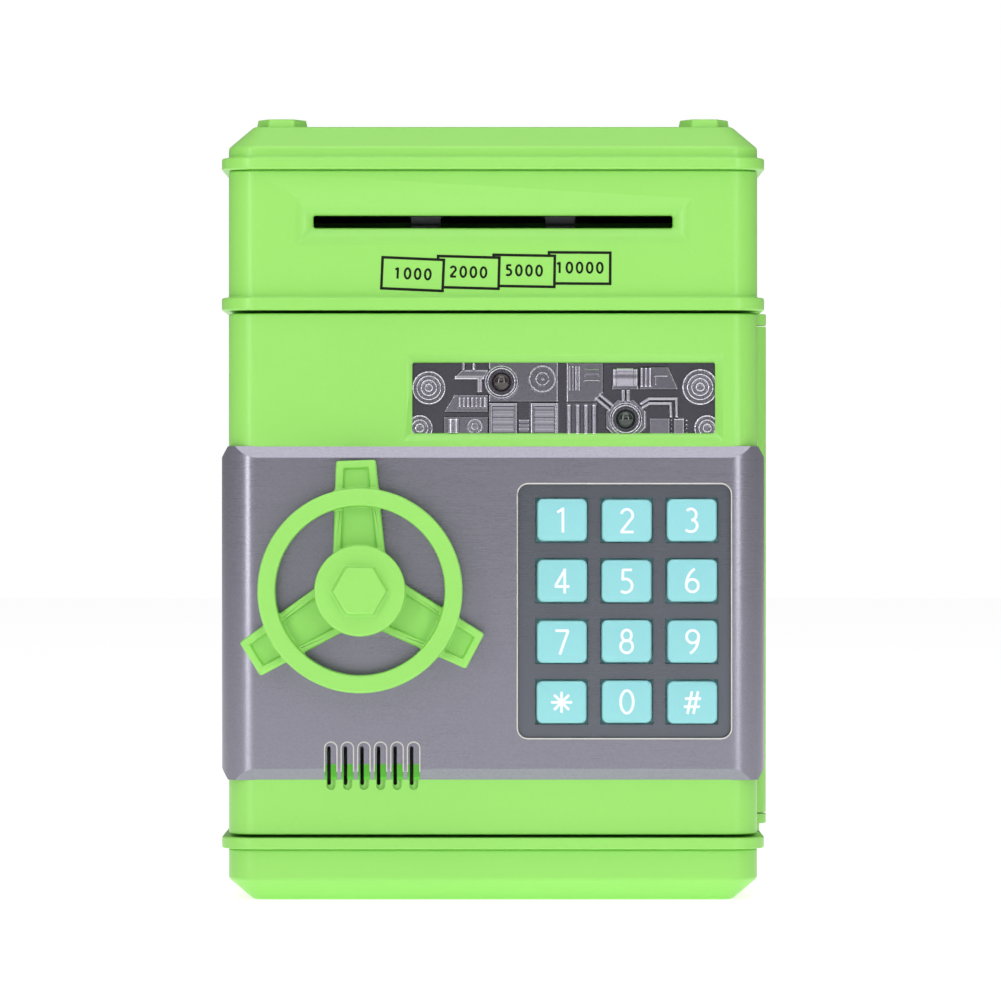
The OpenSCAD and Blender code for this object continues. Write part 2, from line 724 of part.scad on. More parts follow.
module silver_band() {
    fit = 0.05;
    in_x = half_w + fit;
    out_x = half_w + band_out;
    // Upright profile of the front, and of both sides
    front_profile = [[0, band_z0], [front_y, band_z0], [band_y, band_z0 + band_bevel],
        [band_y, band_z1 - band_bevel], [front_y, band_z1], [0, band_z1]];
    side_profile = [[-half_w, band_z0], [half_w, band_z0], [out_x, band_z0 + band_bevel],
        [out_x, band_z1 - band_bevel], [half_w, band_z1], [-half_w, band_z1],
        [-out_x, band_z1 - band_bevel], [-out_x, band_z0 + band_bevel]];
    color(silver) difference() {
        union() {
            intersection() {
                translate([0, 0, band_z0]) linear_extrude(band_z1 - band_z0) difference() {
                    polygon(outline(-out_x, band_y, out_x, band_back, corner_r + band_out, 0));
                    polygon(outline(-in_x, front_y - fit, in_x, band_back + 1, corner_r, 0));
                }
                across_x(-out_x - 1, 0, 0) linear_extrude(2 * out_x + 2) polygon(front_profile);
                translate([0, band_back + 1, 0]) rotate([90, 0, 0])
                    linear_extrude(case_d) polygon(side_profile);
            }
            box_from([pan_x0 - pan_wall, front_y - 0.4, pan_z0 - pan_wall],
                [pan_x1 + pan_wall, pan_back_y, pan_z1 + pan_wall]);
        }
        translate([0, pan_floor_y, 0]) rotate([90, 0, 0]) linear_extrude(pan_floor_y - band_y + 1)
            polygon(outline(pan_x0, pan_z0, pan_x1, pan_z1, pan_corner, pan_corner));
        for (i = [0:11]) translate([key_x(i), 0, key_z(i)])
            cube([key_w + 2 * key_gap, 200, key_h + 2 * key_gap], center = true);
        rod_y(spindle_r + 0.6, band_y - 1, front_y + 1, wheel_x, wheel_z);
        speaker_slots(3, band_y - 1, band_y + 1.2);
        speaker_slots(slit_w, band_y - 1, front_y + 1, slit_dx, slit_z0, slit_z1);
    }
}

module door_liner() {
    color(lime) difference() {
        box_from([-inner_x + 0.2, liner_y, door_z0 + wall + 0.2],
            [hinge_x - barrel_r - 0.4, liner_y + liner_t, door_z1 - wall - 0.2]);
        rod_y(spindle_r + 0.5, liner_y - 1, liner_y + 3, wheel_x, wheel_z);
        for (p = liner_screw_at) {
            rod_y(1.5, liner_y - 1, liner_y + 3, p[0], p[1]);
            rod_y(2.9, liner_y + 0.7, liner_y + 3, p[0], p[1]);
        }
        // Hole for the leads
        rod_y(3.4, liner_y - 1, liner_y + 3, 51.6, 104);
    }
}

module relief_plate() {
    top_y = front_y + 0.9;
    c = 0.2;
    rings = [[lamp_red, 4], [lamp_green, 4], [[-15.2, 124.9], 4], [[50.3, 124.9], 4], [[12.2, 126.8], 3.4]];
    blocks = [[-1, 110, 4.6, 120.6], [9.6, 110, 15.6, 120.6], [18, 121.5, 26.4, 140], [18, 110, 25, 121],
        [29, 125, 45, 130], [-11, 118.6, -1.8, 122.4]];
    color(silver) difference() {
        union() {
            box_from([window_x0 - 1.5, plate_y, window_z0 - 1.5],
                [window_x1 + 1.3, plate_y + 1.5, window_z1 + 1.5]);
            for (p = lamp_screw_at) rod_y(2, plate_y, lamp_board_y, p[0], p[1]);
            // Rings round the lamps, dishes and blocks, all inside the window
            intersection() {
                union() {
                    for (r = rings) rod_y(r[1], top_y, plate_y + e, r[0][0], r[0][1]);
                    for (b = blocks) box_from([b[0], top_y, b[1]], [b[2], plate_y + e, b[3]]);
                }
                box_from([window_x0 + c, front_y, window_z0 + c],
                    [window_x1 - c, plate_y + 1, window_z1 - c]);
            }
        }
        for (p = [lamp_red, lamp_green]) rod_y(lamp_r + running, top_y - 1, plate_y + 3, p[0], p[1]);
        for (p = lamp_screw_at) rod_y(0.9, lamp_board_y - 3, lamp_board_y + e, p[0], p[1]);
    }
}

// A lamp: its domed body and its collar on the board
module lamp(at) {
    rod_y(lamp_r, front_y + 3.1, lamp_board_y - 1, at[0], at[1]);
    translate([at[0], front_y + 3.1, at[1]]) sphere(r = lamp_r);
    rod_y(lamp_r + 0.4, lamp_board_y - 1 - e, lamp_board_y, at[0], at[1]);
}

module red_led() {
    color([0.5, 0.05, 0.05]) lamp(lamp_red);
}

module green_led() {
    color([0.05, 0.4, 0.1]) lamp(lamp_green);
}

module led_board() {
    color(board_green) difference() {
        box_from([-11, lamp_board_y, 113.6], [47, lamp_board_y + board_t, 130.4]);
        for (p = lamp_screw_at) rod_y(1.1, lamp_board_y - 1, lamp_board_y + 3, p[0], p[1]);
    }
}

function key_x(i) = key_x0 + key_pitch_x * (i % 3);
function key_z(i) = key_z0 - key_pitch_z * floor(i / 3);

// A key: its cap, and the flange that stops it behind the pan
module key(i) {
    color(turquoise) translate([key_x(i), 0, key_z(i)]) {
        translate([0, key_front, 0]) rotate([-90, 0, 0]) linear_extrude(pan_back_y + 0.3 - key_front) polygon(
            outline(-key_w / 2, -key_h / 2, key_w / 2, key_h / 2, 1.4, 1.4));
        box_from([-7, pan_back_y + 0.2, -6.2], [7, key_back, 6.2]);
    }
}

module keypad_membrane() {
    color([0.85, 0.85, 0.85])
        box_from([pan_x0, key_back + key_travel + 0.05, pan_z0], [pan_x1, board_y - 0.1, pan_z1]);
}

module control_board() {
    color(board_green) difference() {
        box_from([-2, board_y, 33.2], [60.6, board_y + board_t, 107.8]);
        for (p = board_screw_at) rod_y(1.1, board_y - 1, board_y + 3, p[0], p[1]);
    }
}

module board_parts() {
    y = board_y + board_t;
    color(black) {
        // Chip, capacitors, crystal and transistors
        rod_y(5, y, y + 1.4, 34, 70);
        for (p = [[50, 92], [50, 84]]) rod_y(2.5, y, y + 7, p[0], p[1]);
        box_from([44, y, 58], [54, y + 3, 62]);
        for (x = [16, 22, 28]) box_from([x, y, 84], [x + 4, y + 3, 88]);
        // Sockets of the leads
        box_from([20, y, 91.5], [30, y + 1.2, 97]);
        box_from([5, y, 90], [13, y + 1.4, 95.5]);
        box_from([5, y, 98.5], [13, y + 1.4, 103.5]);
        box_from([5, y, 51], [11, y + 1.4, 57]);
    }
}

module speaker() {
    color(black) difference() {
        union() {
            rod_y(14.3, front_in + 0.1, front_in + 2, speaker_x, speaker_z);
            translate([speaker_x, front_in + 2 - e, speaker_z]) rotate([-90, 0, 0])
                cylinder(r1 = 13.4, r2 = 7.5, h = 3.4);
            rod_y(7.6, front_in + 5.3, front_in + 9, speaker_x, speaker_z);
        }
        // Dish of the cone
        translate([speaker_x, front_in, speaker_z]) rotate([-90, 0, 0]) cylinder(r1 = 12.8, r2 = 4, h = 3.6);
    }
}

module lock_solenoid() {
    x = wheel_x;
    y = solenoid_y;
    color(steel) difference() {
        union() {
            // Frame bent round three sides, and the coil
            for (z = [solenoid_z0, solenoid_z1 - 1.2]) box_from([x - 8, y - 7, z], [x + 8, y + 7, z + 1.2]);
            box_from([x - 8, y - 7, solenoid_z0], [x - 6.8, y + 7, solenoid_z1]);
            rod_z(6.2, solenoid_z0 + 1, solenoid_z1 - 1, x, y);
        }
        rod_z(plunger_r + running, solenoid_z0 - 1, solenoid_z1 + 1, x, y);
    }
}

module lock_plunger() {
    head_z = solenoid_z1 + plunger_drop + 0.4;
    color(steel) {
        rod_z(plunger_r, plunger_z, head_z + e, wheel_x, solenoid_y);
        rod_z(plunger_r + 1.2, head_z, head_z + 2, wheel_x, solenoid_y);
    }
}

module liner_screws() {
    color(steel) for (p = liner_screw_at)
        translate([p[0], liner_y + 0.75, p[1]]) rotate([90, 0, 0]) screw(1.15, 10, 2.6, 0.9);
}

module board_screws() {
    color(steel) {
        for (p = board_screw_at)
            translate([p[0], board_y + board_t, p[1]]) rotate([90, 0, 0]) screw(0.85, 4.4, 1.9, 1.1);
        for (p = lamp_screw_at)
            translate([p[0], lamp_board_y + board_t, p[1]]) rotate([90, 0, 0]) screw(0.85, 4, 1.9, 1.1);
    }
}

module door_leads() {
    color([0.75, 0.1, 0.1]) {
        lead(door_route, 0.9);
        lead(lamp_route, 0.6);
        lead(speaker_route, 0.6);
        lead(solenoid_route, 0.6);
    }
}

module hinge_leads() {
    color([0.75, 0.1, 0.1]) lead(hinge_route, 0.9);
}

// ---------- handwheel, spindle and latch ----------

wheel_front = band_y - 11.5;
spoke_back = band_y - 3;
spoke_front = band_y - 7.6;

// A spoke that points along +X in the flat drawing, narrowing outwards
module spoke_plan(inset = 0) {
    root = 6.9 - inset;
    tip = 4.8 - inset;
    polygon([[0, -root], [spoke_r - inset, -tip], [spoke_r - inset, tip], [0, root]]);
}

// Turns a flat drawing's X to X, its Y to Z and its height towards the front
module facing(y) {
    translate([wheel_x, y, wheel_z]) rotate([90, 0, 0]) children();
}

module handwheel() {
    color(lime) difference() {
        union() {
            facing(spoke_back) for (i = [0:2]) rotate(spoke_angle + 120 * i) {
                linear_extrude(spoke_back - spoke_front - 1.4) spoke_plan();
                linear_extrude(spoke_back - spoke_front) difference() {
                    spoke_plan();
                    spoke_plan(1.9);
                }
            }
            facing(spoke_front + 2) linear_extrude(spoke_front + 2 - wheel_front) difference() {
                circle(r = ring_r);
                circle(r = ring_hole_r);
            }
            // Hub, standing just clear of the band
            facing(band_y - 1) cylinder(r = 8, h = 6);
            facing(spoke_back) cylinder(r = 10.8, h = spoke_back - wheel_front - 0.3);
        }
        rod_y(spindle_r + running, wheel_front + 2, 0, wheel_x, wheel_z);
    }
}

module hub_cap() {
    color(lime) {
        facing(wheel_front + 0.3) cylinder(r = 11, h = 1.7);
        facing(wheel_front - 1.4 + e) cylinder(r1 = 6.75, r2 = 6.5, h = 2.3, $fn = 6);
    }
}

module spindle() {
    color(black) difference() {
        rod_y(spindle_r, wheel_front + 2.2, box_front + 4.2, wheel_x, wheel_z);
        rod_y(1.3, -32, box_front + 5, wheel_x, wheel_z);
    }
}

module lock_disc() {
    color(black) difference() {
        rod_y(disc_r, solenoid_y - 1.5, solenoid_y + 1.5, wheel_x, wheel_z);
        rod_y(spindle_r + 0.02, solenoid_y - 3, solenoid_y + 3, wheel_x, wheel_z);
        // Notches for the plunger with the latch off and on
        translate([wheel_x, solenoid_y, wheel_z + disc_r]) cube([5, 10, 6.4], center = true);
        translate([wheel_x - disc_r, solenoid_y, wheel_z]) cube([6.4, 10, 5], center = true);
    }
}

module latch_cam() {
    y = box_front + 2.4;
    color(black) difference() {
        union() {
            rod_y(7, y, y + 1.8, wheel_x, wheel_z);
            box_from([wheel_x - 5, y, wheel_z - 28.5], [wheel_x + 5, y + 1.8, wheel_z]);
        }
        rod_y(spindle_r + 0.02, y - 1, y + 3, wheel_x, wheel_z);
    }
}

module latch_screw() {
    color(steel) translate([wheel_x, box_front + 4.3, wheel_z]) rotate([90, 0, 0]) screw(1.25, 9, 5, 1.4);
}

// ---------- nodes ----------

base_tray();
base_top();
safe_box();
upper_housing();
top_cap();
hinge_pin();
battery_box();
battery_cells();
battery_contacts();
battery_cover();
battery_cover_screw();
feeder_frame();
chute_cover();
feed_motor();
motor_pinion();
feed_shaft();
feed_rollers();
feed_gear();
pinch_shaft();
pinch_rollers();
bill_sensor();
base_screws();
upper_screws();
feeder_screws();
case_leads();
door_shell();
silver_band();
door_liner();
relief_plate();
red_led();
green_led();
led_board();
keypad_membrane();
control_board();
board_parts();
speaker();
lock_solenoid();
lock_plunger();
liner_screws();
board_screws();
door_leads();
hinge_leads();
handwheel();
hub_cap();
spindle();
lock_disc();
latch_cam();
latch_screw();
for (i = [0:11]) key(i);
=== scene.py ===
# %% [markdown]
# # A toy safe with a keypad door
#
# This notebook finishes a moulded toy safe. Another program has already fixed every size, so the pieces come
# in as a frame that can't be moved. What is left for Blender is what the eye sees: edges that catch light,
# the relief plate behind the window, keys with soft crowned caps, printed figures, leads and every finish.

# %% Load the frame and keep its box
import json
import math

import bpy
import numpy as np
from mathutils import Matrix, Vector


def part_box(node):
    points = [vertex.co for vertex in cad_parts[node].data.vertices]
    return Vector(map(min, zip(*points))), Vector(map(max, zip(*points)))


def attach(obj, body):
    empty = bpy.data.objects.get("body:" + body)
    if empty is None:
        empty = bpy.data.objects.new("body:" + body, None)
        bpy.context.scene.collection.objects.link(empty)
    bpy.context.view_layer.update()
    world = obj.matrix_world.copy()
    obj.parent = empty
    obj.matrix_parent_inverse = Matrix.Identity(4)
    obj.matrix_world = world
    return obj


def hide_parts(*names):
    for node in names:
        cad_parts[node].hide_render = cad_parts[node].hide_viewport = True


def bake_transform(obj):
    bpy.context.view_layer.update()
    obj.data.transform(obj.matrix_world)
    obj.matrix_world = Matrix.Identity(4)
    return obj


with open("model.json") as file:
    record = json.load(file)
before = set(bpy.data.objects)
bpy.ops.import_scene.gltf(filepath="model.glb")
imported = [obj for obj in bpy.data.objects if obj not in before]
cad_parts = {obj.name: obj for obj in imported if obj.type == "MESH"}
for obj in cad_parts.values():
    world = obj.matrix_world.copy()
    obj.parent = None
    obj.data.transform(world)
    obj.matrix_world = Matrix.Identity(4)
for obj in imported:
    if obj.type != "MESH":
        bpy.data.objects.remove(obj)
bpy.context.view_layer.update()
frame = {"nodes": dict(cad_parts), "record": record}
MM = 0.001
record_slots = [entry["slot"] for entry in frame["record"]["materials"]]
print("pieces in the frame:", len(frame["nodes"]), "finishes:", len(record_slots))


def reach(node):
    """A node's lowest and highest corner in millimetres, as two arrays."""
    low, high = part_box(node)
    return np.array(low) / MM, np.array(high) / MM


def add(tree, kind, plugs=(), **options):
    """Adds a node, sets its options, and fills its inputs: a socket is linked, any other value is set."""
    node = tree.nodes.new(kind)
    for key, value in options.items():
        setattr(node, key, value)
    for key, value in dict(plugs).items():
        if isinstance(value, bpy.types.NodeSocket):
            tree.links.new(value, node.inputs[key])
        else:
            node.inputs[key].default_value = value
    return node


# %% [markdown]
# ## Looking at it
#
# A product picture of a box like this is taken from far away with a long lens, so that the sides don't fan
# out. The camera stands level with the middle of the door, and the floor and the room are plain white.

# %% Camera
low, high = reach("upper_housing")
lens = 192.7
camera_aside, camera_up = 1.83, 97.4     # in millimetres, from the middle of the toy and from the floor
camera_away = 1.3                        # in metres, before the front of the housing
camera_data = bpy.data.cameras.new("camera")
camera_data.lens = lens
camera_data.sensor_width = 36
camera_data.clip_start = 0.05
camera = bpy.data.objects.new("camera", camera_data)
camera.location = (camera_aside * MM, low[1] * MM - camera_away, camera_up * MM)
camera.rotation_euler = (math.pi / 2, 0, 0)
bpy.context.scene.collection.objects.link(camera)
bpy.context.scene.camera = camera
bpy.context.scene.view_settings.view_transform = "Standard"
bpy.context.scene.view_settings.look = "None"
print("camera", tuple(round(c, 3) for c in camera.location))

# %% Room, floor and lamps
world = bpy.data.worlds.new("room")
bpy.context.scene.world = world
world.use_nodes = True
sky = world.node_tree
seen_sky, low_sky, high_sky = 1.0, 0.2, 0.46
is_seen = add(sky, "ShaderNodeLightPath").outputs["Is Camera Ray"]
way = add(sky, "ShaderNodeTexCoord").outputs["Generated"]
way_up = add(sky, "ShaderNodeSeparateXYZ", {0: way}).outputs["Z"]
# The room lights the toy with low_sky from its foot up to high_sky from above; the camera sees plain white
lit = add(sky, "ShaderNodeMapRange", {"Value": way_up, "To Min": low_sky, "To Max": high_sky})
shown = {"Value": is_seen, "To Min": lit.outputs["Result"], "To Max": seen_sky}
strength = add(sky, "ShaderNodeMapRange", shown).outputs["Result"]
sky.nodes["Background"].inputs["Color"].default_value = (1, 1, 1, 1)
sky.links.new(strength, sky.nodes["Background"].inputs["Strength"])


def soft_lamp(name, size, watts, place, aim):
    """A square lamp of the given edge in metres at place, turned to face aim."""
    data = bpy.data.lights.new(name, "AREA")
    data.shape = "RECTANGLE"
    data.size, data.size_y = size
    data.energy = watts
    lamp = bpy.data.objects.new(name, data)
    way = np.array(aim) - np.array(place)
    lamp.location = place
    lamp.rotation_euler = (math.atan2(np.hypot(way[0], way[1]), -way[2]), 0, math.atan2(-way[0], way[1]))
    bpy.context.scene.collection.objects.link(lamp)


heart = (0, 0, 0.09)
soft_lamp("lamp_over", (0.9, 0.9), 4.2, (0, -0.35, 1.0), heart)
soft_lamp("lamp_left", (0.16, 1.3), 4.6, (-0.62, -1.05, 0.3), heart)
soft_lamp("lamp_right", (0.16, 1.3), 3.4, (0.62, -1.05, 0.3), heart)
soft_lamp("lamp_front", (1.2, 0.5), 2.2, (0, -1.7, 0.9), heart)

floor_mesh = bpy.data.meshes.new("floor")
floor_half = 4.0
floor_corners = [(x * floor_half, y * floor_half, 0) for x, y in ((-1, -1), (1, -1), (1, 1), (-1, 1))]
floor_mesh.from_pydata(floor_corners, [], [(0, 1, 2, 3)])
floor = bpy.data.objects.new("floor", floor_mesh)
bpy.context.scene.collection.objects.link(floor)
print("lamps and floor are in place")

# %% [markdown]
# ## Effects that several finishes share
#
# Moulded plastic, drawn metal and metal paint all need the same three things: a colour that isn't quite even,
# a gloss that isn't quite even, and a very fine relief. Each effect is built once as a group with named
# sockets, and each finish places it with its own numbers.

# %% Helpers that build node trees


def maths(tree, operation, first, second=0.0, third=0.0):
    """One Math node, and its result."""
    plugs = {0: first, 1: second, 2: third}
    return add(tree, "ShaderNodeMath", plugs, operation=operation).outputs[0]


def mixed(tree, share, first, second):
    """Two colours mixed by share."""
    return add(tree, "ShaderNodeMix", {0: share, 6: first, 7: second}, data_type="RGBA").outputs[2]


def band(tree, value, start, end):
    """0 before start, 1 after end, and a smooth step between."""
    plugs = {"Value": value, "From Min": start, "From Max": end}
    return add(tree, "ShaderNodeMapRange", plugs, interpolation_type="SMOOTHSTEP").outputs["Result"]


def new_group(name, sockets):
    """An empty effect with named inputs, and the outputs that every effect here has."""
    group = bpy.data.node_groups.new(name, "ShaderNodeTree")
    for socket, (kind, value) in sockets.items():
        made = group.interface.new_socket(socket, in_out="INPUT", socket_type="NodeSocket" + kind)
        made.default_value = value
    for socket, kind in (("Colour", "Color"), ("Roughness", "Float"), ("Height", "Float")):
        group.interface.new_socket(socket, in_out="OUTPUT", socket_type="NodeSocket" + kind)
    return group, group.nodes.new("NodeGroupInput").outputs, group.nodes.new("NodeGroupOutput").inputs


def fill_group(group, given, out, tint, uneven, height):
    """Colour times tint, and Gloss + Spread * uneven as the roughness, go out with the height."""
    colour = add(group, "ShaderNodeVectorMath", {0: given["Colour"], 3: tint}, operation="SCALE")
    rough = maths(group, "MULTIPLY_ADD", uneven, given["Spread"], given["Gloss"])
    for name, socket in (("Colour", colour.outputs[0]), ("Roughness", rough), ("Height", height)):
        group.links.new(socket, out[name])
    return group


def noise(tree, place, scale, detail):
    """The value of a noise texture."""
    plugs = {"Vector": place, "Scale": scale, "Detail": detail}
    return add(tree, "ShaderNodeTexNoise", plugs).outputs["Fac"]


def object_point(tree, turn=(0, 0, 0), shift=(0, 0, 0)):
    """Object coordinates, turned and shifted."""
    place = add(tree, "ShaderNodeTexCoord").outputs["Object"]
    return add(tree, "ShaderNodeMapping", {"Vector": place, "Rotation": turn, "Location": shift}).outputs[0]


def object_parts(tree, shift=(0, 0, 0)):
    """The X, Y and Z of the object coordinates."""
    return add(tree, "ShaderNodeSeparateXYZ", {0: object_point(tree, shift=shift)}).outputs


def named(tree, attribute):
    """The value of an attribute of the mesh."""
    return add(tree, "ShaderNodeAttribute", attribute_name=attribute).outputs["Fac"]


GREY = (0.5, 0.5, 0.5, 1)

# %% Moulded plastic: cloudy colour, satin gloss, fine grain


def make_moulded():
    """Broad clouds tint the colour, and a fine noise gives the grain of the mould and breaks up the gloss."""
    group, given, out = new_group("moulded", {
        "Colour": ("Color", GREY), "Shade": ("Float", 0.06), "Grain": ("Float", 1400.0),
        "Gloss": ("Float", 0.35), "Spread": ("Float", 0.06)})
    place = object_point(group)
    clouds = noise(group, place, 22.0, 3.0)
    grain = noise(group, place, given["Grain"], 2.0)
    uneven = maths(group, "MULTIPLY_ADD", clouds, 2.0, -1.0)
    lighter = maths(group, "MULTIPLY_ADD", uneven, given["Shade"], 1.0)
    speck = maths(group, "MULTIPLY_ADD", grain, 0.04, 0.98)
    gloss = maths(group, "ADD", maths(group, "MULTIPLY", uneven, 0.5), maths(group, "SUBTRACT", grain, 0.5))
    return fill_group(group, given, out, maths(group, "MULTIPLY", lighter, speck), gloss, grain)


moulded = make_moulded()

# %% Drawn metal and metal paint: fine lines one way, flakes that catch light


def make_drawn():
    """Noise stretched by Lines gives the drawn lines, and small random cells give the flakes of the paint."""
    group, given, out = new_group("drawn", {
        "Colour": ("Color", GREY), "Lines": ("Vector", (1.0, 1.0, 1.0)), "Shade": ("Float", 0.1),
        "Flake": ("Float", 0.1), "Gloss": ("Float", 0.3), "Spread": ("Float", 0.1)})
    place = add(group, "ShaderNodeTexCoord").outputs["Object"]
    stretched = add(group, "ShaderNodeVectorMath", {0: place, 1: given["Lines"]}, operation="MULTIPLY")
    lines = noise(group, stretched.outputs[0], 1.0, 3.0)
    flakes = add(group, "ShaderNodeTexVoronoi", {"Vector": place, "Scale": 3400.0}).outputs["Color"]
    spark = add(group, "ShaderNodeSeparateColor", {0: flakes}).outputs[0]
    drawn_off, spark_off, cloud_off = (maths(group, "SUBTRACT", value, 0.5)
                                       for value in (lines, spark, noise(group, place, 30.0, 2.0)))
    shares = ((drawn_off, "Shade"), (spark_off, "Flake"), (cloud_off, "Shade"))
    line_part, flake_part, cloud_part = (maths(group, "MULTIPLY", off, given[name]) for off, name in shares)
    fine_part = maths(group, "ADD", line_part, flake_part)
    tint = maths(group, "ADD", fine_part, maths(group, "ADD", cloud_part, 1.0))
    return fill_group(group, given, out, tint, maths(group, "ADD", drawn_off, cloud_off), lines)


drawn = make_drawn()


def finish(name, effect, bump, constants=(), recolour=None, **values):
    """A material: the effect feeds a Principled shader, and the effect's height feeds its bump, in metres.

    recolour, if given, takes the tree and the effect's colour and returns the colour to use."""
    material = bpy.data.materials.new(name)
    material.use_nodes = True
    tree = material.node_tree
    shader = tree.nodes["Principled BSDF"]
    node = add(tree, "ShaderNodeGroup", node_tree=effect)
    for key, value in values.items():
        node.inputs[key].default_value = value
    colour = node.outputs["Colour"]
    if recolour:
        colour = recolour(tree, colour)
    tree.links.new(colour, shader.inputs["Base Color"])
    tree.links.new(node.outputs["Roughness"], shader.inputs["Roughness"])
    raised = {"Height": node.outputs["Height"], "Distance": bump, "Strength": 1.0}
    tree.links.new(add(tree, "ShaderNodeBump", raised).outputs["Normal"], shader.inputs["Normal"])
    for key, value in dict(constants).items():
        shader.inputs[key].default_value = value
    return material


def rgb(red, green, blue):
    """A colour given as it looks on a screen, 0 to 255, turned into light values."""
    seen = np.array([red, green, blue]) / 255
    light = np.where(seen <= 0.04045, seen / 12.92, ((seen + 0.055) / 1.055) ** 2.4)
    return (*light.tolist(), 1.0)


print("effects:", moulded.name, drawn.name)

# %% [markdown]
# ## The finishes
#
# The case is lime ABS straight from a satin mould. The band and the relief plate are the same plastic under
# silver: paint with fine flakes on the band, bright vacuum metal on the plate. Inside are the finishes of any
# small appliance: steel screws, a green circuit board, black frames, rubber rollers.

# %% Plastics
lime = finish("lime_plastic", moulded, 0.000004, {"Specular IOR Level": 0.5, "Coat Weight": 0.12,
              "Coat Roughness": 0.2}, Colour=rgb(140, 207, 93), Shade=0.035, Grain=1500.0, Gloss=0.36)
black = finish("black_plastic", moulded, 0.000008, Colour=rgb(38, 38, 41), Shade=0.2, Grain=900.0, Gloss=0.42)
nylon = finish("gear_nylon", moulded, 0.000004, {"Subsurface Weight": 0.15, "Subsurface Scale": 0.002},
               Colour=rgb(233, 232, 222), Shade=0.05, Grain=1200.0, Gloss=0.38)
rubber = finish("roller_rubber", moulded, 0.00002, Colour=rgb(112, 114, 117), Shade=0.25, Grain=1600.0,
                Gloss=0.72, Spread=0.12)
membrane = finish("keypad_rubber", moulded, 0.00001, Colour=rgb(176, 182, 184), Shade=0.12, Grain=1300.0,
                  Gloss=0.6)
aqua = finish("key_plastic", moulded, 0.000003, {"Subsurface Weight": 0.12, "Subsurface Scale": 0.0015},
              Colour=rgb(138, 201, 206), Shade=0.05, Grain=1500.0, Gloss=0.3)
white_ink = finish("white_print", moulded, 0.000002, Colour=rgb(226, 231, 246), Shade=0.03, Grain=2600.0,
                   Gloss=0.45)
black_ink = finish("black_print", moulded, 0.000002, {"Specular IOR Level": 0.15}, Colour=rgb(16, 22, 10),
                   Shade=0.15, Grain=2600.0, Gloss=0.6)
floor_glow = {"Emission Color": (1, 1, 1, 1), "Emission Strength": 0.62}
floor_white = finish("floor_white", moulded, 0.00001, floor_glow, Colour=rgb(250, 250, 250), Shade=0.01,
                     Grain=300.0, Gloss=0.8)
floor_mesh.materials.append(floor_white)

# %% Metals
steel = finish("steel", drawn, 0.000003, {"Metallic": 1.0}, Colour=rgb(190, 190, 194),
               Lines=(400.0, 400.0, 2600.0), Shade=0.2, Flake=0.05, Gloss=0.3)
zinc = finish("zinc_screw", drawn, 0.000003, {"Metallic": 1.0}, Colour=rgb(198, 199, 196),
              Lines=(900.0, 2600.0, 900.0), Shade=0.25, Flake=0.08, Gloss=0.28)
brass = finish("brass", drawn, 0.000003, {"Metallic": 1.0}, Colour=rgb(214, 178, 104),
               Lines=(300.0, 2400.0, 2400.0), Shade=0.2, Flake=0.05, Gloss=0.26)
# The lighter trim colour of the bead and the slot rims is a painted highlight along edges of the band
highlight_trim = finish("painted_highlight_trim", drawn, 0.000001, {"Metallic": 0.8}, Colour=rgb(206, 202, 198),
                Lines=(500.0, 500.0, 500.0), Shade=0.08, Flake=0.04, Gloss=0.3)


def plate_tone(tree, colour):
    """Painted shade darkens the plate in its low places, and a painted highlight, an attribute, brightens its
    edges.
    """
    top = reach("relief_plate")[0][1] * MM
    # Painted shade: the low places of the sheet are mixed toward a dark grey
    low_place_shade = band(tree, object_parts(tree)["Y"], top + 0.3 * MM, top + 1.6 * MM)
    shaded_metal = mixed(tree, maths(tree, "MULTIPLY", low_place_shade, 0.85), colour, rgb(70, 69, 77))
    # Painted highlight: where the edge attribute is high, the colour is mixed toward near white
    return mixed(tree, maths(tree, "MULTIPLY", named(tree, "edge"), 0.85), shaded_metal, rgb(244, 242, 250))


plate_metal = finish("plate_metal", drawn, 0.000003, {"Metallic": 0.8}, plate_tone, Colour=rgb(156, 153, 164),
                     Lines=(2600.0, 2600.0, 2600.0), Shade=0.2, Flake=0.12, Gloss=0.22, Spread=0.12)

# %% Metal paint of the band, with painted shade down in the pan of the keypad
pan_low, pan_high = reach("keypad_membrane")
pan_middle, pan_size = (pan_low + pan_high) / 2, pan_high - pan_low
band_front = reach("silver_band")[0][1]
slot_pitch, slot_count, slot_first = 4.02, 6, -39.35      # the speaker slots, and the middle of the first
slots_middle, slots_half, slot_wide = -29.3, 12.0, 1.52   # what the mask of the paint left open
lime_top = 33.4                                           # how high the bare lime reaches in a slot


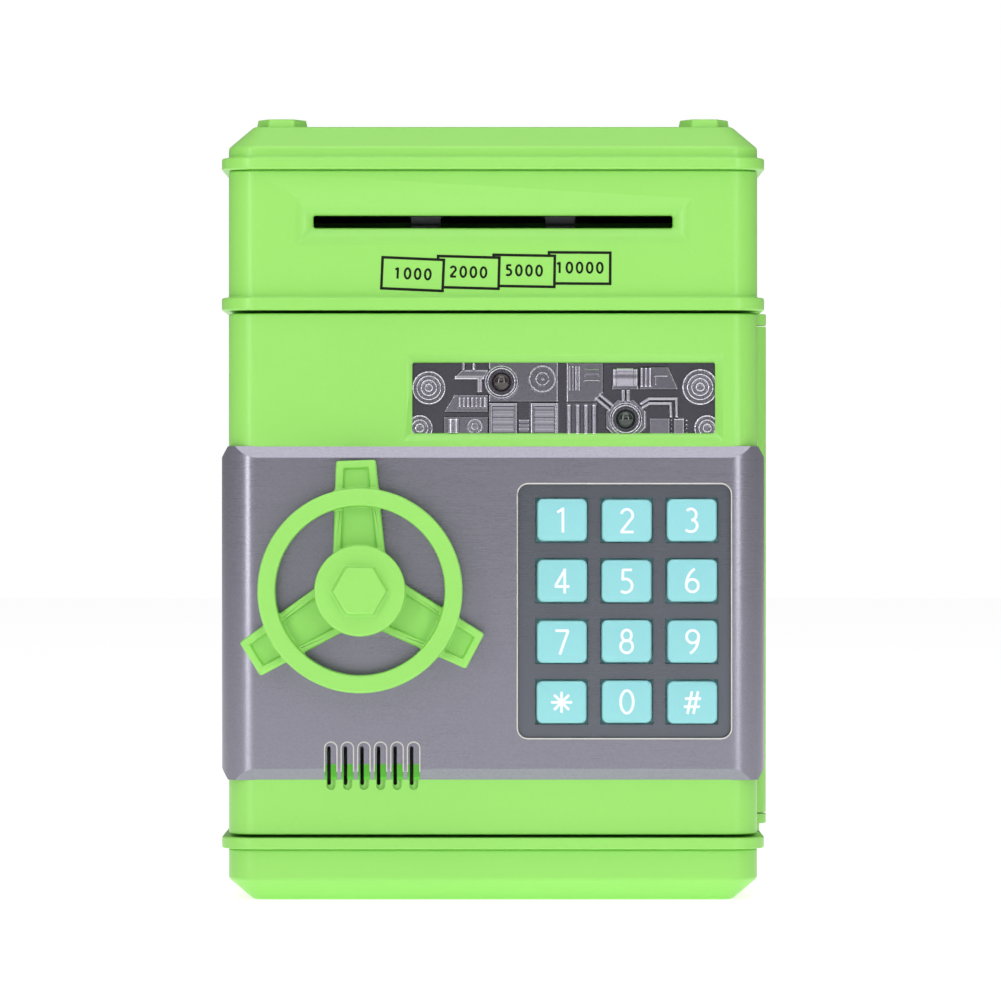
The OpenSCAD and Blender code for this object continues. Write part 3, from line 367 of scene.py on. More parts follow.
def band_tone(tree, colour):
    """Inside the outline of the pan the paint is a darker, cooler grey, painted shade of the recess, and the
    mask of the paint left the lowest part of the floor of the speaker slots in the lime of the plastic."""
    part = object_parts(tree)

    def within(value, half):
        """1 where the value is less than half away from 0."""
        return maths(tree, "LESS_THAN", maths(tree, "ABSOLUTE", value), half)

    inside = band(tree, part["Y"], (band_front + 0.5) * MM, (band_front + 1.4) * MM)
    for axis, place in (("X", 0), ("Z", 2)):
        off = maths(tree, "SUBTRACT", part[axis], pan_middle[place] * MM)
        inside = maths(tree, "MULTIPLY", inside, within(off, (pan_size[place] / 2 + 0.2) * MM))
    # Painted shade: deeper than the front and inside the pan, the paint is mixed to a darker, cooler grey
    painted = mixed(tree, inside, colour, rgb(106, 109, 117))
    unpainted = band(tree, part["Y"], (band_front + 1.08) * MM, (band_front + 1.14) * MM)
    off_middle = maths(tree, "SUBTRACT", part["X"], slots_middle * MM)
    share = maths(tree, "FRACT", maths(tree, "DIVIDE", off_middle, slot_pitch * MM))
    off_slot = maths(tree, "SUBTRACT", share, 0.5)
    low_part = maths(tree, "LESS_THAN", part["Z"], lime_top * MM)
    for mask in (within(off_middle, slots_half * MM), within(off_slot, slot_wide / slot_pitch), low_part):
        unpainted = maths(tree, "MULTIPLY", unpainted, mask)
    # The bare lime in the slots is the plastic's own colour, made darker than the case's lime as painted
    # shade deep in the slot
    return mixed(tree, unpainted, painted, rgb(92, 178, 62))


silver = finish("silver_finish", drawn, 0.0000022, {"Metallic": 0.9}, band_tone, Colour=rgb(140, 138, 150),
                Lines=(60.0, 60.0, 2200.0), Shade=0.07, Flake=0.12, Gloss=0.28, Spread=0.05)

# %% [markdown]
# ## Finishes that are patterns
#
# A circuit board shows copper tracks through its green mask, a speaker is a ring of rubber round a paper
# cone, and a solenoid is a coil of enamelled wire in a plated frame. These patterns follow distances in the
# piece, so they are worked out from Object coordinates, turned so that each lies in the piece's own plane.

# %% Boards, speaker, solenoid and cells


def board_tone(tree, colour):
    """Tracks from a brick pattern laid in the plane of the board, and tinned pads from small round cells."""
    flat = object_point(tree, turn=(math.pi / 2, 0, 0))
    laid = {"Vector": flat, "Scale": 170.0, "Mortar Size": 0.035, "Brick Width": 0.7, "Row Height": 0.28}
    tracks = add(tree, "ShaderNodeTexBrick", laid).outputs["Fac"]
    cells = add(tree, "ShaderNodeTexVoronoi", {"Vector": flat, "Scale": 230.0, "Randomness": 0.35})
    pads = maths(tree, "LESS_THAN", cells.outputs["Distance"], 0.16)
    return mixed(tree, pads, mixed(tree, tracks, colour, rgb(58, 132, 74)), rgb(196, 196, 190))


board = finish("circuit_board", moulded, 0.000006, {"Coat Weight": 0.4}, board_tone, Colour=rgb(20, 92, 50),
               Shade=0.1, Grain=900.0, Gloss=0.35)


def from_axis(tree, centre, across):
    """Distance in metres from the line through centre that runs square to the two named axes."""
    part = object_parts(tree, shift=tuple(-c * MM for c in centre))
    squares = [maths(tree, "MULTIPLY", part[axis], part[axis]) for axis in across]
    return maths(tree, "SQRT", maths(tree, "ADD", *squares))


def speaker_tone(tree, colour):
    """A plated rim, a rubber edge, a grey paper cone with pressed rings, and a dark dust cap."""
    low, high = reach("speaker")
    away = from_axis(tree, (low + high) / 2, "XZ")
    rings = maths(tree, "SINE", maths(tree, "MULTIPLY", away, 2 * math.pi / (1.1 * MM)))
    paper = mixed(tree, band(tree, rings, -1.0, 1.0), rgb(74, 72, 70), rgb(96, 94, 91))
    inner = mixed(tree, band(tree, away, 3.6 * MM, 3.9 * MM), rgb(34, 34, 36), paper)
    edge = mixed(tree, band(tree, away, 11.0 * MM, 11.3 * MM), inner, colour)
    return mixed(tree, band(tree, away, 12.9 * MM, 13.1 * MM), edge, rgb(170, 171, 172))


def coil_tone(tree, colour):
    """Within the radius of the bobbin, copper turns a third of a millimetre apart; outside it, the frame."""
    low, high = reach("lock_solenoid")
    middle = (low + high) / 2
    away = from_axis(tree, (middle[0], middle[1], 0), "XY")
    turns = maths(tree, "SINE", maths(tree, "MULTIPLY", object_parts(tree)["Z"], 2 * math.pi / (0.33 * MM)))
    copper = mixed(tree, band(tree, turns, -1.0, 1.0), rgb(122, 62, 34), rgb(206, 122, 74))
    return mixed(tree, band(tree, away, 6.25 * MM, 6.3 * MM), copper, colour)


def cell_tone(tree, colour):
    """A printed sleeve: a copper coloured third at one end, the rest black, with plain steel ends."""
    end = reach("battery_cells")[1][0]
    along = object_parts(tree)["X"]
    printed = mixed(tree, band(tree, along, 9.8 * MM, 10.2 * MM), colour, rgb(190, 118, 62))
    ends = band(tree, maths(tree, "ABSOLUTE", along), (end - 1.7) * MM, (end - 1.5) * MM)
    return mixed(tree, ends, printed, rgb(186, 187, 190))


def chip_tone(tree, colour):
    """Small parts on the board: black bodies, and pale cells on top where their figures would be."""
    cells = add(tree, "ShaderNodeTexVoronoi", {"Vector": object_point(tree), "Scale": 120.0})
    pale = maths(tree, "MULTIPLY", band(tree, cells.outputs["Distance"], 0.5, 0.6), 0.25)
    return mixed(tree, pale, colour, rgb(200, 200, 196))


speaker_finish = finish("speaker_paper", moulded, 0.00002, (), speaker_tone, Colour=rgb(30, 30, 32),
                        Shade=0.1, Grain=900.0, Gloss=0.6)
coil = finish("solenoid", drawn, 0.000004, {"Metallic": 0.9}, coil_tone, Colour=rgb(184, 186, 188),
              Gloss=0.32)
foil = finish("battery_foil", drawn, 0.000003, {"Metallic": 0.7}, cell_tone, Colour=rgb(34, 34, 38),
              Gloss=0.25)
chips = finish("board_parts", moulded, 0.000006, (), chip_tone, Colour=rgb(30, 30, 33), Shade=0.1, Gloss=0.45)

# %% Lenses of the two lamps
lens_fixed = {"Transmission Weight": 0.55, "IOR": 1.5, "Coat Weight": 0.6}
red_lens, green_lens = (
    finish(name, moulded, 0.000002, lens_fixed, Colour=colour, Shade=0.15, Gloss=0.06, Spread=0.02)
    for name, colour in (("red_lens", rgb(60, 46, 48)), ("green_lens", rgb(40, 56, 47))))
print("finishes:", len(bpy.data.materials))

# %% [markdown]
# ## Edges that catch light
#
# No moulded edge is sharp: the cutter that made the mould leaves a small radius, and that radius draws the
# thin bright line along every edge. The frame's meshes can't be changed, but modifiers work on top of them.
# Weld joins the loose triangles, and Decimate merges those that lie in one plane on the large curved shells.
# Bevel rounds every edge that turns by more than a set angle, or, where slots and screw holes are too close
# together, only the edges that a small node group picks. A second group keeps true corners sharp, and
# Weighted Normal lets the flat faces stay flat.

# %% The modifier stack
BEVEL_TURN = 34.0     # degrees by which an edge turns before it is rounded
SMOOTH_TURN = 38      # and before the shading breaks there; less on the band, whose facets are flat
BAND_TURN = 20


def new_stack_group(name):
    """An empty geometry group: its tree, what comes in and what goes out."""
    group = bpy.data.node_groups.new(name, "GeometryNodeTree")
    for side in ("INPUT", "OUTPUT"):
        group.interface.new_socket("Geometry", in_out=side, socket_type="NodeSocketGeometry")
    return group, group.nodes.new("NodeGroupInput").outputs[0], group.nodes.new("NodeGroupOutput").inputs[0]


def make_smoother(limit):
    """All faces smooth, and an edge sharp again where its two faces turn by more than limit degrees."""
    group, given, out = new_stack_group(f"smooth_to_{limit}")
    turn = add(group, "GeometryNodeInputMeshEdgeAngle").outputs["Unsigned Angle"]
    sharp = add(group, "FunctionNodeCompare", {"A": turn, "B": math.radians(limit)}, operation="GREATER_THAN")
    faces = add(group, "GeometryNodeSetShadeSmooth", {"Geometry": given, "Shade Smooth": True})
    plugs = {"Geometry": faces.outputs[0], "Shade Smooth": False, "Selection": sharp.outputs["Result"]}
    edges = add(group, "GeometryNodeSetShadeSmooth", plugs, domain="EDGE")
    group.links.new(edges.outputs[0], out)
    return group


smoother = make_smoother(SMOOTH_TURN)
crisp = make_smoother(BAND_TURN)


def make_picker(*boxes, mirrored=False):
    """A bevel weight of 1 for edges that turn far enough and lie outside boxes, in millimetres.

    mirrored repeats the boxes in all four quarters of the plan."""
    group, given, out = new_stack_group("pick_edges")
    turn = add(group, "GeometryNodeInputMeshEdgeAngle").outputs["Unsigned Angle"]
    point = add(group, "GeometryNodeInputPosition").outputs[0]
    place = add(group, "ShaderNodeSeparateXYZ", {0: point}).outputs
    weight = maths(group, "GREATER_THAN", turn, math.radians(BEVEL_TURN))
    for low, high in boxes:
        away = -1.0
        for axis, start, end in zip("XYZ", low, high):
            value = maths(group, "ABSOLUTE", place[axis]) if mirrored and axis != "Z" else place[axis]
            before = maths(group, "SUBTRACT", start * MM, value)
            after = maths(group, "SUBTRACT", value, end * MM)
            away = maths(group, "MAXIMUM", maths(group, "MAXIMUM", before, after), away)
        weight = maths(group, "MULTIPLY", weight, maths(group, "GREATER_THAN", away, 0.0))
    plugs = {"Geometry": given, "Name": "bevel_weight_edge", "Value": weight}
    store = add(group, "GeometryNodeStoreNamedAttribute", plugs, data_type="FLOAT", domain="EDGE")
    group.links.new(store.outputs[0], out)
    return group


def soften(thing, width, merged, shading, picker):
    """Rounds the edges of a frame node by width millimetres; a width of 0 only smooths its shading.

    merged first joins neighbouring triangles that lie in one plane. picker, if any, is the group that says
    which edges are rounded."""
    thing.modifiers.new("weld", "WELD").merge_threshold = 0.002 * MM
    if merged:
        flat = thing.modifiers.new("flat", "DECIMATE")
        flat.decimate_type = "DISSOLVE"
        flat.angle_limit = math.radians(1.0)
    if picker:
        thing.modifiers.new("pick", "NODES").node_group = picker
    if width:
        edge = thing.modifiers.new("edge", "BEVEL")
        edge.width = width * MM
        edge.segments = 3
        edge.limit_method = "WEIGHT" if picker else "ANGLE"
        edge.angle_limit = math.radians(BEVEL_TURN)
        edge.use_clamp_overlap = False
    thing.modifiers.new("smooth", "NODES").node_group = shading
    weighted = thing.modifiers.new("normals", "WEIGHTED_NORMAL")
    weighted.keep_sharp = True
    weighted.weight = 50


# %% Dress every node of the frame
DRESS = [
    (lime, 0.5, "base_tray upper_housing top_cap"),
    (lime, 0.3, "base_top battery_cover"),
    (lime, 0.15, "safe_box door_liner"),
    (lime, 0.5, "door_shell"),
    (lime, 0.6, "handwheel hub_cap"),
    (silver, 0.0, "silver_band"),
    (black, 0.2, "battery_box feeder_frame chute_cover spindle lock_disc latch_cam"),
    (steel, 0.0, "hinge_pin feed_shaft pinch_shaft lock_plunger feed_motor battery_contacts"),
    (zinc, 0.0, "liner_screws board_screws base_screws upper_screws feeder_screws latch_screw"),
    (zinc, 0.0, "battery_cover_screw"),
    (brass, 0.0, "motor_pinion"),
    (nylon, 0.0, "feed_gear"),
    (rubber, 0.25, "feed_rollers pinch_rollers"),
    (board, 0.1, "control_board led_board bill_sensor"),
    (membrane, 0.2, "keypad_membrane"),
    (speaker_finish, 0.1, "speaker"),
    (coil, 0.1, "lock_solenoid"),
    (foil, 0.0, "battery_cells"),
    (chips, 0.15, "board_parts"),
    (red_lens, 0.0, "red_led"),
    (green_lens, 0.0, "green_led"),
]


MERGED = ("base_tray", "upper_housing", "handwheel", "hub_cap")
# Edges too close to others to be rounded: the speaker slots, the hinge barrels, the feet of the hexagon heads
# and of the coin slot's raised edge, and the screw holes of the base's top
PICKERS = {"door_shell": make_picker(((-44, -54, 22), (-15, -40, 56)), ((57, -34, 0), (69, -20, 150))),
           "top_cap": make_picker(((44, 33, 188.3), (58.3, 46.5, 189.5)), ((0, 0, 188.3), (22, 15, 188.9)),
                                  mirrored=True),
           "base_top": make_picker(((48, 10, 12), (56, 46, 16)), mirrored=True)}
for material, width, names in DRESS:
    for name in names.split():
        node = frame["nodes"][name]
        node.data.materials.clear()
        node.data.materials.append(material)
        soften(node, width, name in MERGED, crisp if name == "silver_band" else smoother, PICKERS.get(name))
print("dressed", sum(len(names.split()) for _, _, names in DRESS), "nodes")

# %% [markdown]
# ## Surfaces from arrays
#
# The new pieces are worked out with numpy. Each is a grid of points, rows by columns, and neighbours on the
# grid become four-sided faces. A loft is such a grid closed round its columns, with a fan over each end.

# %% Grid, loft and piece


def grid_faces(rows, columns, wrap=False, close=False):
    """Four-sided faces between neighbours of a grid numbered row by row.

    wrap joins the last column to the first, and close the last row to the first."""
    row = np.arange(rows if close else rows - 1)[:, None]
    column = np.arange(columns if wrap else columns - 1)[None, :]
    here, below, after = row * columns, (row + 1) % rows * columns, (column + 1) % columns
    return np.stack([here + column, here + after, below + after, below + column], axis=-1).reshape(-1, 4)


def loft(rings):
    """Closed skin through rings (n, m, 3): faces between rings, and a fan from each end to its middle."""
    count, around = rings.shape[:2]
    points = np.concatenate([rings.reshape(-1, 3), rings[:1].mean(axis=1), rings[-1:].mean(axis=1)])
    here = np.arange(around)
    after = (here + 1) % around
    middle = np.full(around, count * around)
    last = (count - 1) * around
    start = np.stack([after, here, middle], axis=-1)
    end = np.stack([here + last, after + last, middle + 1], axis=-1)
    return points, [grid_faces(count, around, True), start, end]


def volume(points, faces):
    """Signed volume: each face split into triangles from its first corner, summed as corner products."""
    total = 0.0
    for group in faces:
        for k in range(1, group.shape[1] - 1):
            a, b, c = points[group[:, 0]], points[group[:, k]], points[group[:, k + 1]]
            total += np.einsum("ij,ij->i", a, np.cross(b, c)).sum() / 6
    return total


def piece(name, skins, body, material, replaced=(), sharp=SMOOTH_TURN):
    """Joins closed skins, in millimetres, into one object that rides on a body, each turned outwards."""
    points, faces, start = [], [], 0
    for skin_points, skin_faces in skins:
        if volume(skin_points, skin_faces) < 0:
            skin_faces = [group[:, ::-1] for group in skin_faces]
        points.append(skin_points)
        faces += [(group + start).tolist() for group in skin_faces]
        start += len(skin_points)
    mesh = bpy.data.meshes.new(name)
    mesh.from_pydata((np.concatenate(points) * MM).tolist(), [], [face for group in faces for face in group])
    mesh.shade_smooth()
    mesh.set_sharp_from_angle(angle=math.radians(sharp))
    mesh.materials.append(material)
    made = bpy.data.objects.new(name, mesh)
    bpy.context.scene.collection.objects.link(made)
    if body:
        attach(made, body)
    if replaced:
        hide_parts(*replaced)
    return made


def outline(width, height, radius):
    """A rounded rectangle, anticlockwise about the origin: a quarter circle at each corner, as x and z."""
    turn = np.linspace(0, math.pi / 2, 8)[None, :] + np.arange(4)[:, None] * math.pi / 2
    middle_x = np.array([1, -1, -1, 1])[:, None] * (width / 2 - radius)
    middle_z = np.array([1, 1, -1, -1])[:, None] * (height / 2 - radius)
    flat = np.stack([middle_x + radius * np.cos(turn), middle_z + radius * np.sin(turn)], axis=-1)
    return flat.reshape(-1, 2)


def upright(across, depth, up):
    """Points across and up in the plane of the door, at a depth."""
    return np.stack(np.broadcast_arrays(across, depth, up), axis=-1)


def level(depth):
    """A face that lies at the same depth everywhere."""
    return lambda across, up: depth


print("a box outline has", len(outline(12, 10, 1)), "points")

# %% [markdown]
# ## The keys
#
# Each key is a small aqua cap, moulded in one piece with a flange that stops it falling out of the front. Its
# face is crowned, a fraction of a millimetre higher in the middle, and its edge is rounded over. The cap is
# a loft of rounded rectangles: the flange, the straight side, a quarter-round shoulder, and then rings that
# shrink over the crown.

# %% Key caps
KEYS = {**{digit: digit for digit in "123456789"}, "star": "*", "0": "0", "hash": "#"}
key_rise = 0.35       # crown of a key's face
shoulder = 0.75       # radius of its edge
key_w, key_h, key_corner = 12.1, 10.25, 1.5
play = 0.1            # each cap sits this far off the middle of its hole, its own way


def crown(across, up):
    """How far the face has fallen below the middle of the crown, as the square of the distance from it."""
    return key_rise * ((across / (key_w / 2)) ** 2 + (up / (key_h / 2)) ** 2) / 2


def key_skin(middle_x, middle_z, front, back, flange):
    """Rings from the back of the flange forwards; each ring is a width lost all round and a depth."""
    turn = np.linspace(0, math.pi / 2, 6)
    sides = [(-flange, back), (-flange, back - 1.3), (0.0, back - 1.35), (0.0, back - 3.0)]
    rounds = [(shoulder * (1 - math.cos(t)), front + shoulder * (1 - math.sin(t)) + key_rise * 0.6)
              for t in turn]
    over = [(loss, front) for loss in np.linspace(shoulder + 0.35, key_h / 2 - 0.2, 8)]
    rings = []
    for number, (loss, depth) in enumerate(sides + rounds + over):
        corner = max(key_corner - max(loss, 0) * 0.8, 0.15)
        flat = outline(key_w - 2 * loss, key_h - 2 * loss, corner)
        fall = crown(flat[:, 0], flat[:, 1]) if number >= len(sides) + len(rounds) else 0.0
        rings.append(upright(middle_x + flat[:, 0], depth + fall, middle_z + flat[:, 1]))
    return loft(np.array(rings))


key_middle = {}
for number, label in enumerate(KEYS):
    low, high = reach("key_" + label)
    seat = play * np.array([math.sin(2.4 * number + 1), 0, math.cos(3.7 * number)])
    key_middle[label] = (low + high) / 2 + seat
    key_front, key_back = low[1], high[1]
    flange = (high[0] - low[0] - key_w) / 2
    skin = key_skin(key_middle[label][0], key_middle[label][2], key_front, key_back, flange)
    piece("keycap_" + label, [skin], "button_" + label, aqua, ["key_" + label], sharp=50)
print("key caps:", len(key_middle), "front at", round(key_front, 2), "mm")

# %% [markdown]
# ## Figures
#
# The figures on the keys are moulded in white, one even stroke wide, and the figures on the case are pad
# printed in black. A stroke is a flat ribbon carried along a path of lines and arcs, and laid on the face
# below it. Each figure is written down once, in a box one unit tall.

# %% Strokes


def arc(middle_x, middle_z, wide, tall, start, end, steps=26):
    """Points of an ellipse between two angles in degrees."""
    turn = np.radians(np.linspace(start, end, steps))
    return np.stack([middle_x + wide * np.cos(turn), middle_z + tall * np.sin(turn)], axis=-1)


def line(*corners):
    """A straight path, with points between its corners so that it can bend over a crown."""
    corners = np.array(corners, float)
    parts = [np.linspace(a, b, 5)[:-1] for a, b in zip(corners[:-1], corners[1:])]
    return np.concatenate(parts + [corners[-1:]])


SIX = [arc(0, -0.2, 0.24, 0.25, 0, 360), arc(0.32, -0.2, 0.56, 0.72, 180, 113)]
FIGURES = {
    "0": [arc(0, 0, 0.25, 0.45, 0, 360, 40)],
    "1": [line((0.03, -0.5), (0.03, 0.49)), line((-0.2, 0.3), (0.05, 0.45))],
    "2": [np.concatenate([arc(0, 0.21, 0.23, 0.24, 165, -28), line((0.1, -0.02), (-0.22, -0.43))]),
          line((-0.26, -0.45), (0.27, -0.45))],
    "3": [arc(-0.04, 0.22, 0.21, 0.23, 140, -85), arc(-0.05, -0.22, 0.26, 0.24, 85, -140)],
    "4": [line((0.1, -0.5), (0.1, 0.49)), line((0.11, 0.45), (-0.27, -0.2)),
          line((-0.3, -0.22), (0.29, -0.22))],
    "5": [line((0.22, 0.45), (-0.15, 0.45)), line((-0.14, 0.48), (-0.16, 0.04)),
          arc(-0.05, -0.18, 0.27, 0.27, 118, -130)],
    "6": SIX,
    "7": [line((-0.26, 0.45), (0.27, 0.45)), line((0.25, 0.45), (-0.09, -0.5))],
    "8": [arc(0, 0.23, 0.19, 0.22, 0, 360), arc(0, -0.21, 0.24, 0.25, 0, 360)],
    "9": [-path for path in SIX],
    "*": [line((-0.42 * math.cos(t), -0.42 * math.sin(t)), (0.42 * math.cos(t), 0.42 * math.sin(t)))
          for t in np.arange(4) * math.pi / 4],
    "#": [line((-0.02, 0.45), (-0.2, -0.45)), line((0.22, 0.45), (0.04, -0.45)),
          line((-0.3, 0.16), (0.34, 0.16)), line((-0.34, -0.16), (0.3, -0.16))],
}


def ribbon(path, width, laid_on, lift, layer):
    """A closed flat strip: each point of the path moved half the width to either side, in front of and behind
    the face that laid_on gives, as a depth, for a place across and up."""
    along = np.gradient(path, axis=0)
    along /= np.linalg.norm(along, axis=1, keepdims=True)
    side = np.stack([-along[:, 1], along[:, 0]], axis=-1) * width / 2
    ahead, behind = -lift - layer, lift * 2
    corners = ((path + side, ahead), (path - side, ahead), (path - side, behind), (path + side, behind))
    rings = [upright(x, laid_on(x, z) + depth, z) for (x, z), depth in ((edge.T, d) for edge, d in corners)]
    return loft(np.stack(rings, axis=1))


def figure(sign, middle, tall, width, laid_on, lift=0.05, turn=0.0):
    """The strokes of a figure, tall millimetres high, about a middle, as closed strips."""
    spin = np.array([[math.cos(turn), math.sin(turn)], [-math.sin(turn), math.cos(turn)]])
    return [ribbon(path @ spin * tall + np.array(middle), width, laid_on, lift, 0.004 * number)
            for number, path in enumerate(FIGURES[sign])]


# %% White figures on the keys
figure_tall = 6.1
figure_stroke = 0.66
for label, sign in KEYS.items():
    x, _, z = key_middle[label]

    def face(across, up, x=x, z=z):
        return key_front + crown(across - x, up - z)

    strips = figure(sign, (x, z), figure_tall, figure_stroke, face, lift=0.03)
    piece("figure_" + label, strips, "button_" + label, white_ink)
print("figures on", len(KEYS), "keys")

# %% Printed values on the case
housing_face = level(-53.0)        # the front of the housing, where the print lies
print_stroke, value_stroke, value_tall, value_pitch = 0.66, 0.54, 2.7, 2.46
past_corner = 0.3                  # how far the sides of a label run past its corners
values = ["1000", "2000", "5000", "10000"]
leans = [2.5, 1.6, 1.0, 0.4]       # degrees by which each label leans to the right
steps_up = [0.0, 0.3, 0.6, 1.2]
label_w, label_h, label_pitch = 14.9, 7.55, 13.47
label_corner = np.array([-26.8, 156.5])


def meeting(start, way, point, direction):
    """Where the line from start along way crosses the line through point along direction."""
    share = np.linalg.solve(np.stack([way, -direction], axis=-1), point - start)
    return start + share[0] * way


strips = []
before = None
for number, value in enumerate(values):
    lean = math.radians(leans[number])
    along = np.array([math.cos(lean), -math.sin(lean)])
    down = np.array([-math.sin(lean), -math.cos(lean)])
    top_left = label_corner + np.array([label_pitch * number, steps_up[number]])
    top_right, bottom_left = top_left + label_w * along, top_left + label_h * down
    bottom_right = top_right + label_h * down
    left_end, bottom_start = bottom_left, bottom_left
    if before is not None:
        # The label before this one lies on top of it and hides most of its left side
        left_end = meeting(top_left, down, before["top_right"], before["along"])
        bottom_start = meeting(bottom_right, -along, before["top_right"], before["down"])
    sides = [(top_left, top_right), (top_right, bottom_right), (bottom_right, bottom_start),
             (top_left, left_end)]
    for k, (start, end) in enumerate(sides):
        longer = (end - start) / np.linalg.norm(end - start) * past_corner
        strips.append(ribbon(line(start - longer, end + longer), print_stroke, housing_face, 0.02, 0.003 * k))
    middle = (top_left + bottom_right) / 2 + (0, 0.1)
    for place, sign in enumerate(value):
        shift = along * (place - (len(value) - 1) / 2) * value_pitch
        strips += figure(sign, middle + shift, value_tall, value_stroke, housing_face, 0.02, -lean)
    before = {"top_right": top_right, "along": along, "down": down}
piece("printed_values", strips, "case", black_ink)
print("printed", values)

# %% [markdown]
# ## The relief plate
#
# Behind the window sits a thin plate, formed with the look of machinery and plated with bright metal. It
# is one sheet without undercuts, so it can be a height above a plane: every feature is a shape with a
# signed distance to its edge, and a smooth step of that distance lifts the sheet over the shape.

# %% Shapes as distances
plate_low, plate_high = reach("relief_plate")
plate_face = plate_low[1] + 1.4
window_x, window_z = (-20.4, 54.8), (113.0, 131.7)
fine = 0.14


def spread(low, high, window):
    """Places from low to high, close together inside the window and far apart in the margins."""
    inside = np.linspace(*window, int((window[1] - window[0]) / fine) + 1)
    return np.concatenate([np.linspace(low, window[0], 4)[:-1], inside, np.linspace(window[1], high, 4)[1:]])


columns = spread(plate_low[0], plate_high[0], window_x)
rows = spread(plate_low[2], plate_high[2], window_z)
X, Z = np.meshgrid(columns, rows)


def disc(x, z, radius):
    """Distance inside a circle: its radius less the distance from its middle."""
    return radius - np.hypot(X - x, Z - z)


def block(x0, x1, z0, z1):
    """Distance inside an upright box: the least of the distances to its four sides."""
    return np.minimum(np.minimum(X - x0, x1 - X), np.minimum(Z - z0, z1 - Z))


def shape(*corners):
    """Distance inside a convex outline given clockwise: the least of the distances to its sides."""
    inside = np.full(X.shape, 99.0)
    for (x0, z0), (x1, z1) in zip(corners, corners[1:] + corners[:1]):
        length = math.hypot(x1 - x0, z1 - z0)
        inside = np.minimum(inside, ((z1 - z0) * (X - x0) - (x1 - x0) * (Z - z0)) / length)
    return inside


def pipe(radius, *corners):
    """Distance inside a tube along a path: its radius less the distance to the nearest part of the path."""
    near = np.full(X.shape, 99.0)
    for (x0, z0), (x1, z1) in zip(corners[:-1], corners[1:]):
        dx, dz = x1 - x0, z1 - z0
        along = np.clip(((X - x0) * dx + (Z - z0) * dz) / (dx * dx + dz * dz), 0, 1)
        near = np.minimum(near, np.hypot(X - x0 - along * dx, Z - z0 - along * dz))
    return radius - near


def step(inside, wall=0.22):
    """0 outside, 1 further inside than the wall is wide, and 3t^2 - 2t^3 between."""
    t = np.clip(inside / wall, 0, 1)
    return t * t * (3 - 2 * t)


def bulge(inside, radius):
    """The height of a half-round bar: a circle's arc over the distance inside it."""
    t = np.clip(inside / radius, 0, 1)
    return np.sqrt(1 - (1 - t) ** 2)


# %% Lift the sheet
relief = np.zeros(X.shape)


def lift(inside, height, wall=0.22):
    """The sheet rises to a height inside a shape."""
    global relief
    relief = np.maximum(relief, height * step(inside, wall))


def press(inside, height, wall=0.22):
    """The sheet is pressed down to a height inside a shape."""
    global relief
    relief = np.minimum(relief, height + (relief - height).clip(0) * (1 - step(inside, wall)))


def bars(inside, count, start, end, upright, height, base):
    """Count half-round bars side by side from start to end, inside a shape, on top of a base height."""
    global relief
    pitch = (end - start) / count
    place = ((X if upright else Z) - start) / pitch
    wave = np.sin(math.pi * np.clip(place % 1.0, 0, 1)) ** 0.7
    inside_bars = step(inside) * step(np.minimum(place, count - place) * pitch, 0.1)
    relief = np.where(inside_bars > 0, np.maximum(relief, (base + height * wave) * inside_bars), relief)


def slats(inside, count, start, end, height, base):
    """Count level slats, one above the other: each leans out from its foot and ends in a lip."""
    global relief
    place = (Z - start) / (end - start) * count % 1.0
    slat = base + height * place * step(1 - place, 0.25)
    relief = np.where(inside > 0, slat, relief)


def drum(x0, x1, z0, z1, upright, height, base=0.0):
    """A half-round drum with flat ends: h = height sqrt(1 - d^2), d the share of its radius off its axis."""
    global relief
    across, half = (X - (x0 + x1) / 2, (x1 - x0) / 2) if upright else (Z - (z0 + z1) / 2, (z1 - z0) / 2)
    arch = np.sqrt(np.clip(1 - (across / half) ** 2, 0, 1))
    ends = step(np.minimum(Z - z0, z1 - Z) if upright else np.minimum(X - x0, x1 - X), 0.16)
    relief = np.maximum(relief, (base + height * arch) * ends * (np.abs(across) < half))


def target(x, z, radii):
    """Rings one inside the other: each step inwards is higher, and has a round lip at its edge."""
    global relief
    for number, radius in enumerate(radii):
        rise = 0.45 + 0.16 * number
        lift(disc(x, z, radius), rise, 0.2)
        lip = pipe_ring(x, z, radius - 0.25, 0.24)
        relief = np.maximum(relief, (rise + 0.3 * bulge(lip, 0.24)) * (lip > 0))


def raise_bar(inside, height, radius):
    """The sheet rises to a half-round bar."""
    global relief
    relief = np.maximum(relief, height * bulge(inside, radius))


def pipe_ring(x, z, radius, half=0.17):
    """Distance inside a thin ring."""
    return half - np.abs(np.hypot(X - x, Z - z) - radius)


for x, z, radii in ((-15.6, 124.8, (4.1, 3.1, 2.1, 1.1)), (50.4, 125.0, (4.4, 3.3, 2.3, 1.2)),
                    (-17.8, 115.0, (3.2, 2.2, 1.2)), (52.1, 115.0, (3.2, 2.2, 1.2))):
    target(x, z, radii)
# Panels at the left of the first lamp
lift(shape((-9.9, 126.9), (-7.6, 129.2), (-1.0, 129.2), (-1.0, 126.9)), 0.6)
for x in (-7.2, -4.6):
    lift(pipe(0.45, (x, 129.4), (x, 130.6)), 0.9)
drum(-9.4, -1.0, 126.8, 127.8, False, 0.5, 0.45)
drum(-4.0, -2.5, 123.6, 127.2, True, 0.8, 0.2)
lift(shape((-12.1, 118.8), (-9.4, 123.2), (-1.1, 123.2), (-1.1, 118.8)), 0.55)
bars(block(-8.6, -1.5, 119.9, 122.6), 7, -8.6, -1.5, True, 0.55, 0.6)
lift(block(-12.1, -1.1, 113.0, 117.9), 0.5)
drum(-11.2, -8.1, 113.6, 117.4, True, 0.85, 0.45)
lift(disc(-4.4, 115.4, 2.1), 0.8)
press(disc(-4.4, 115.4, 1.6), 0.55)
lift(disc(-4.4, 115.4, 1.1), 1.05)
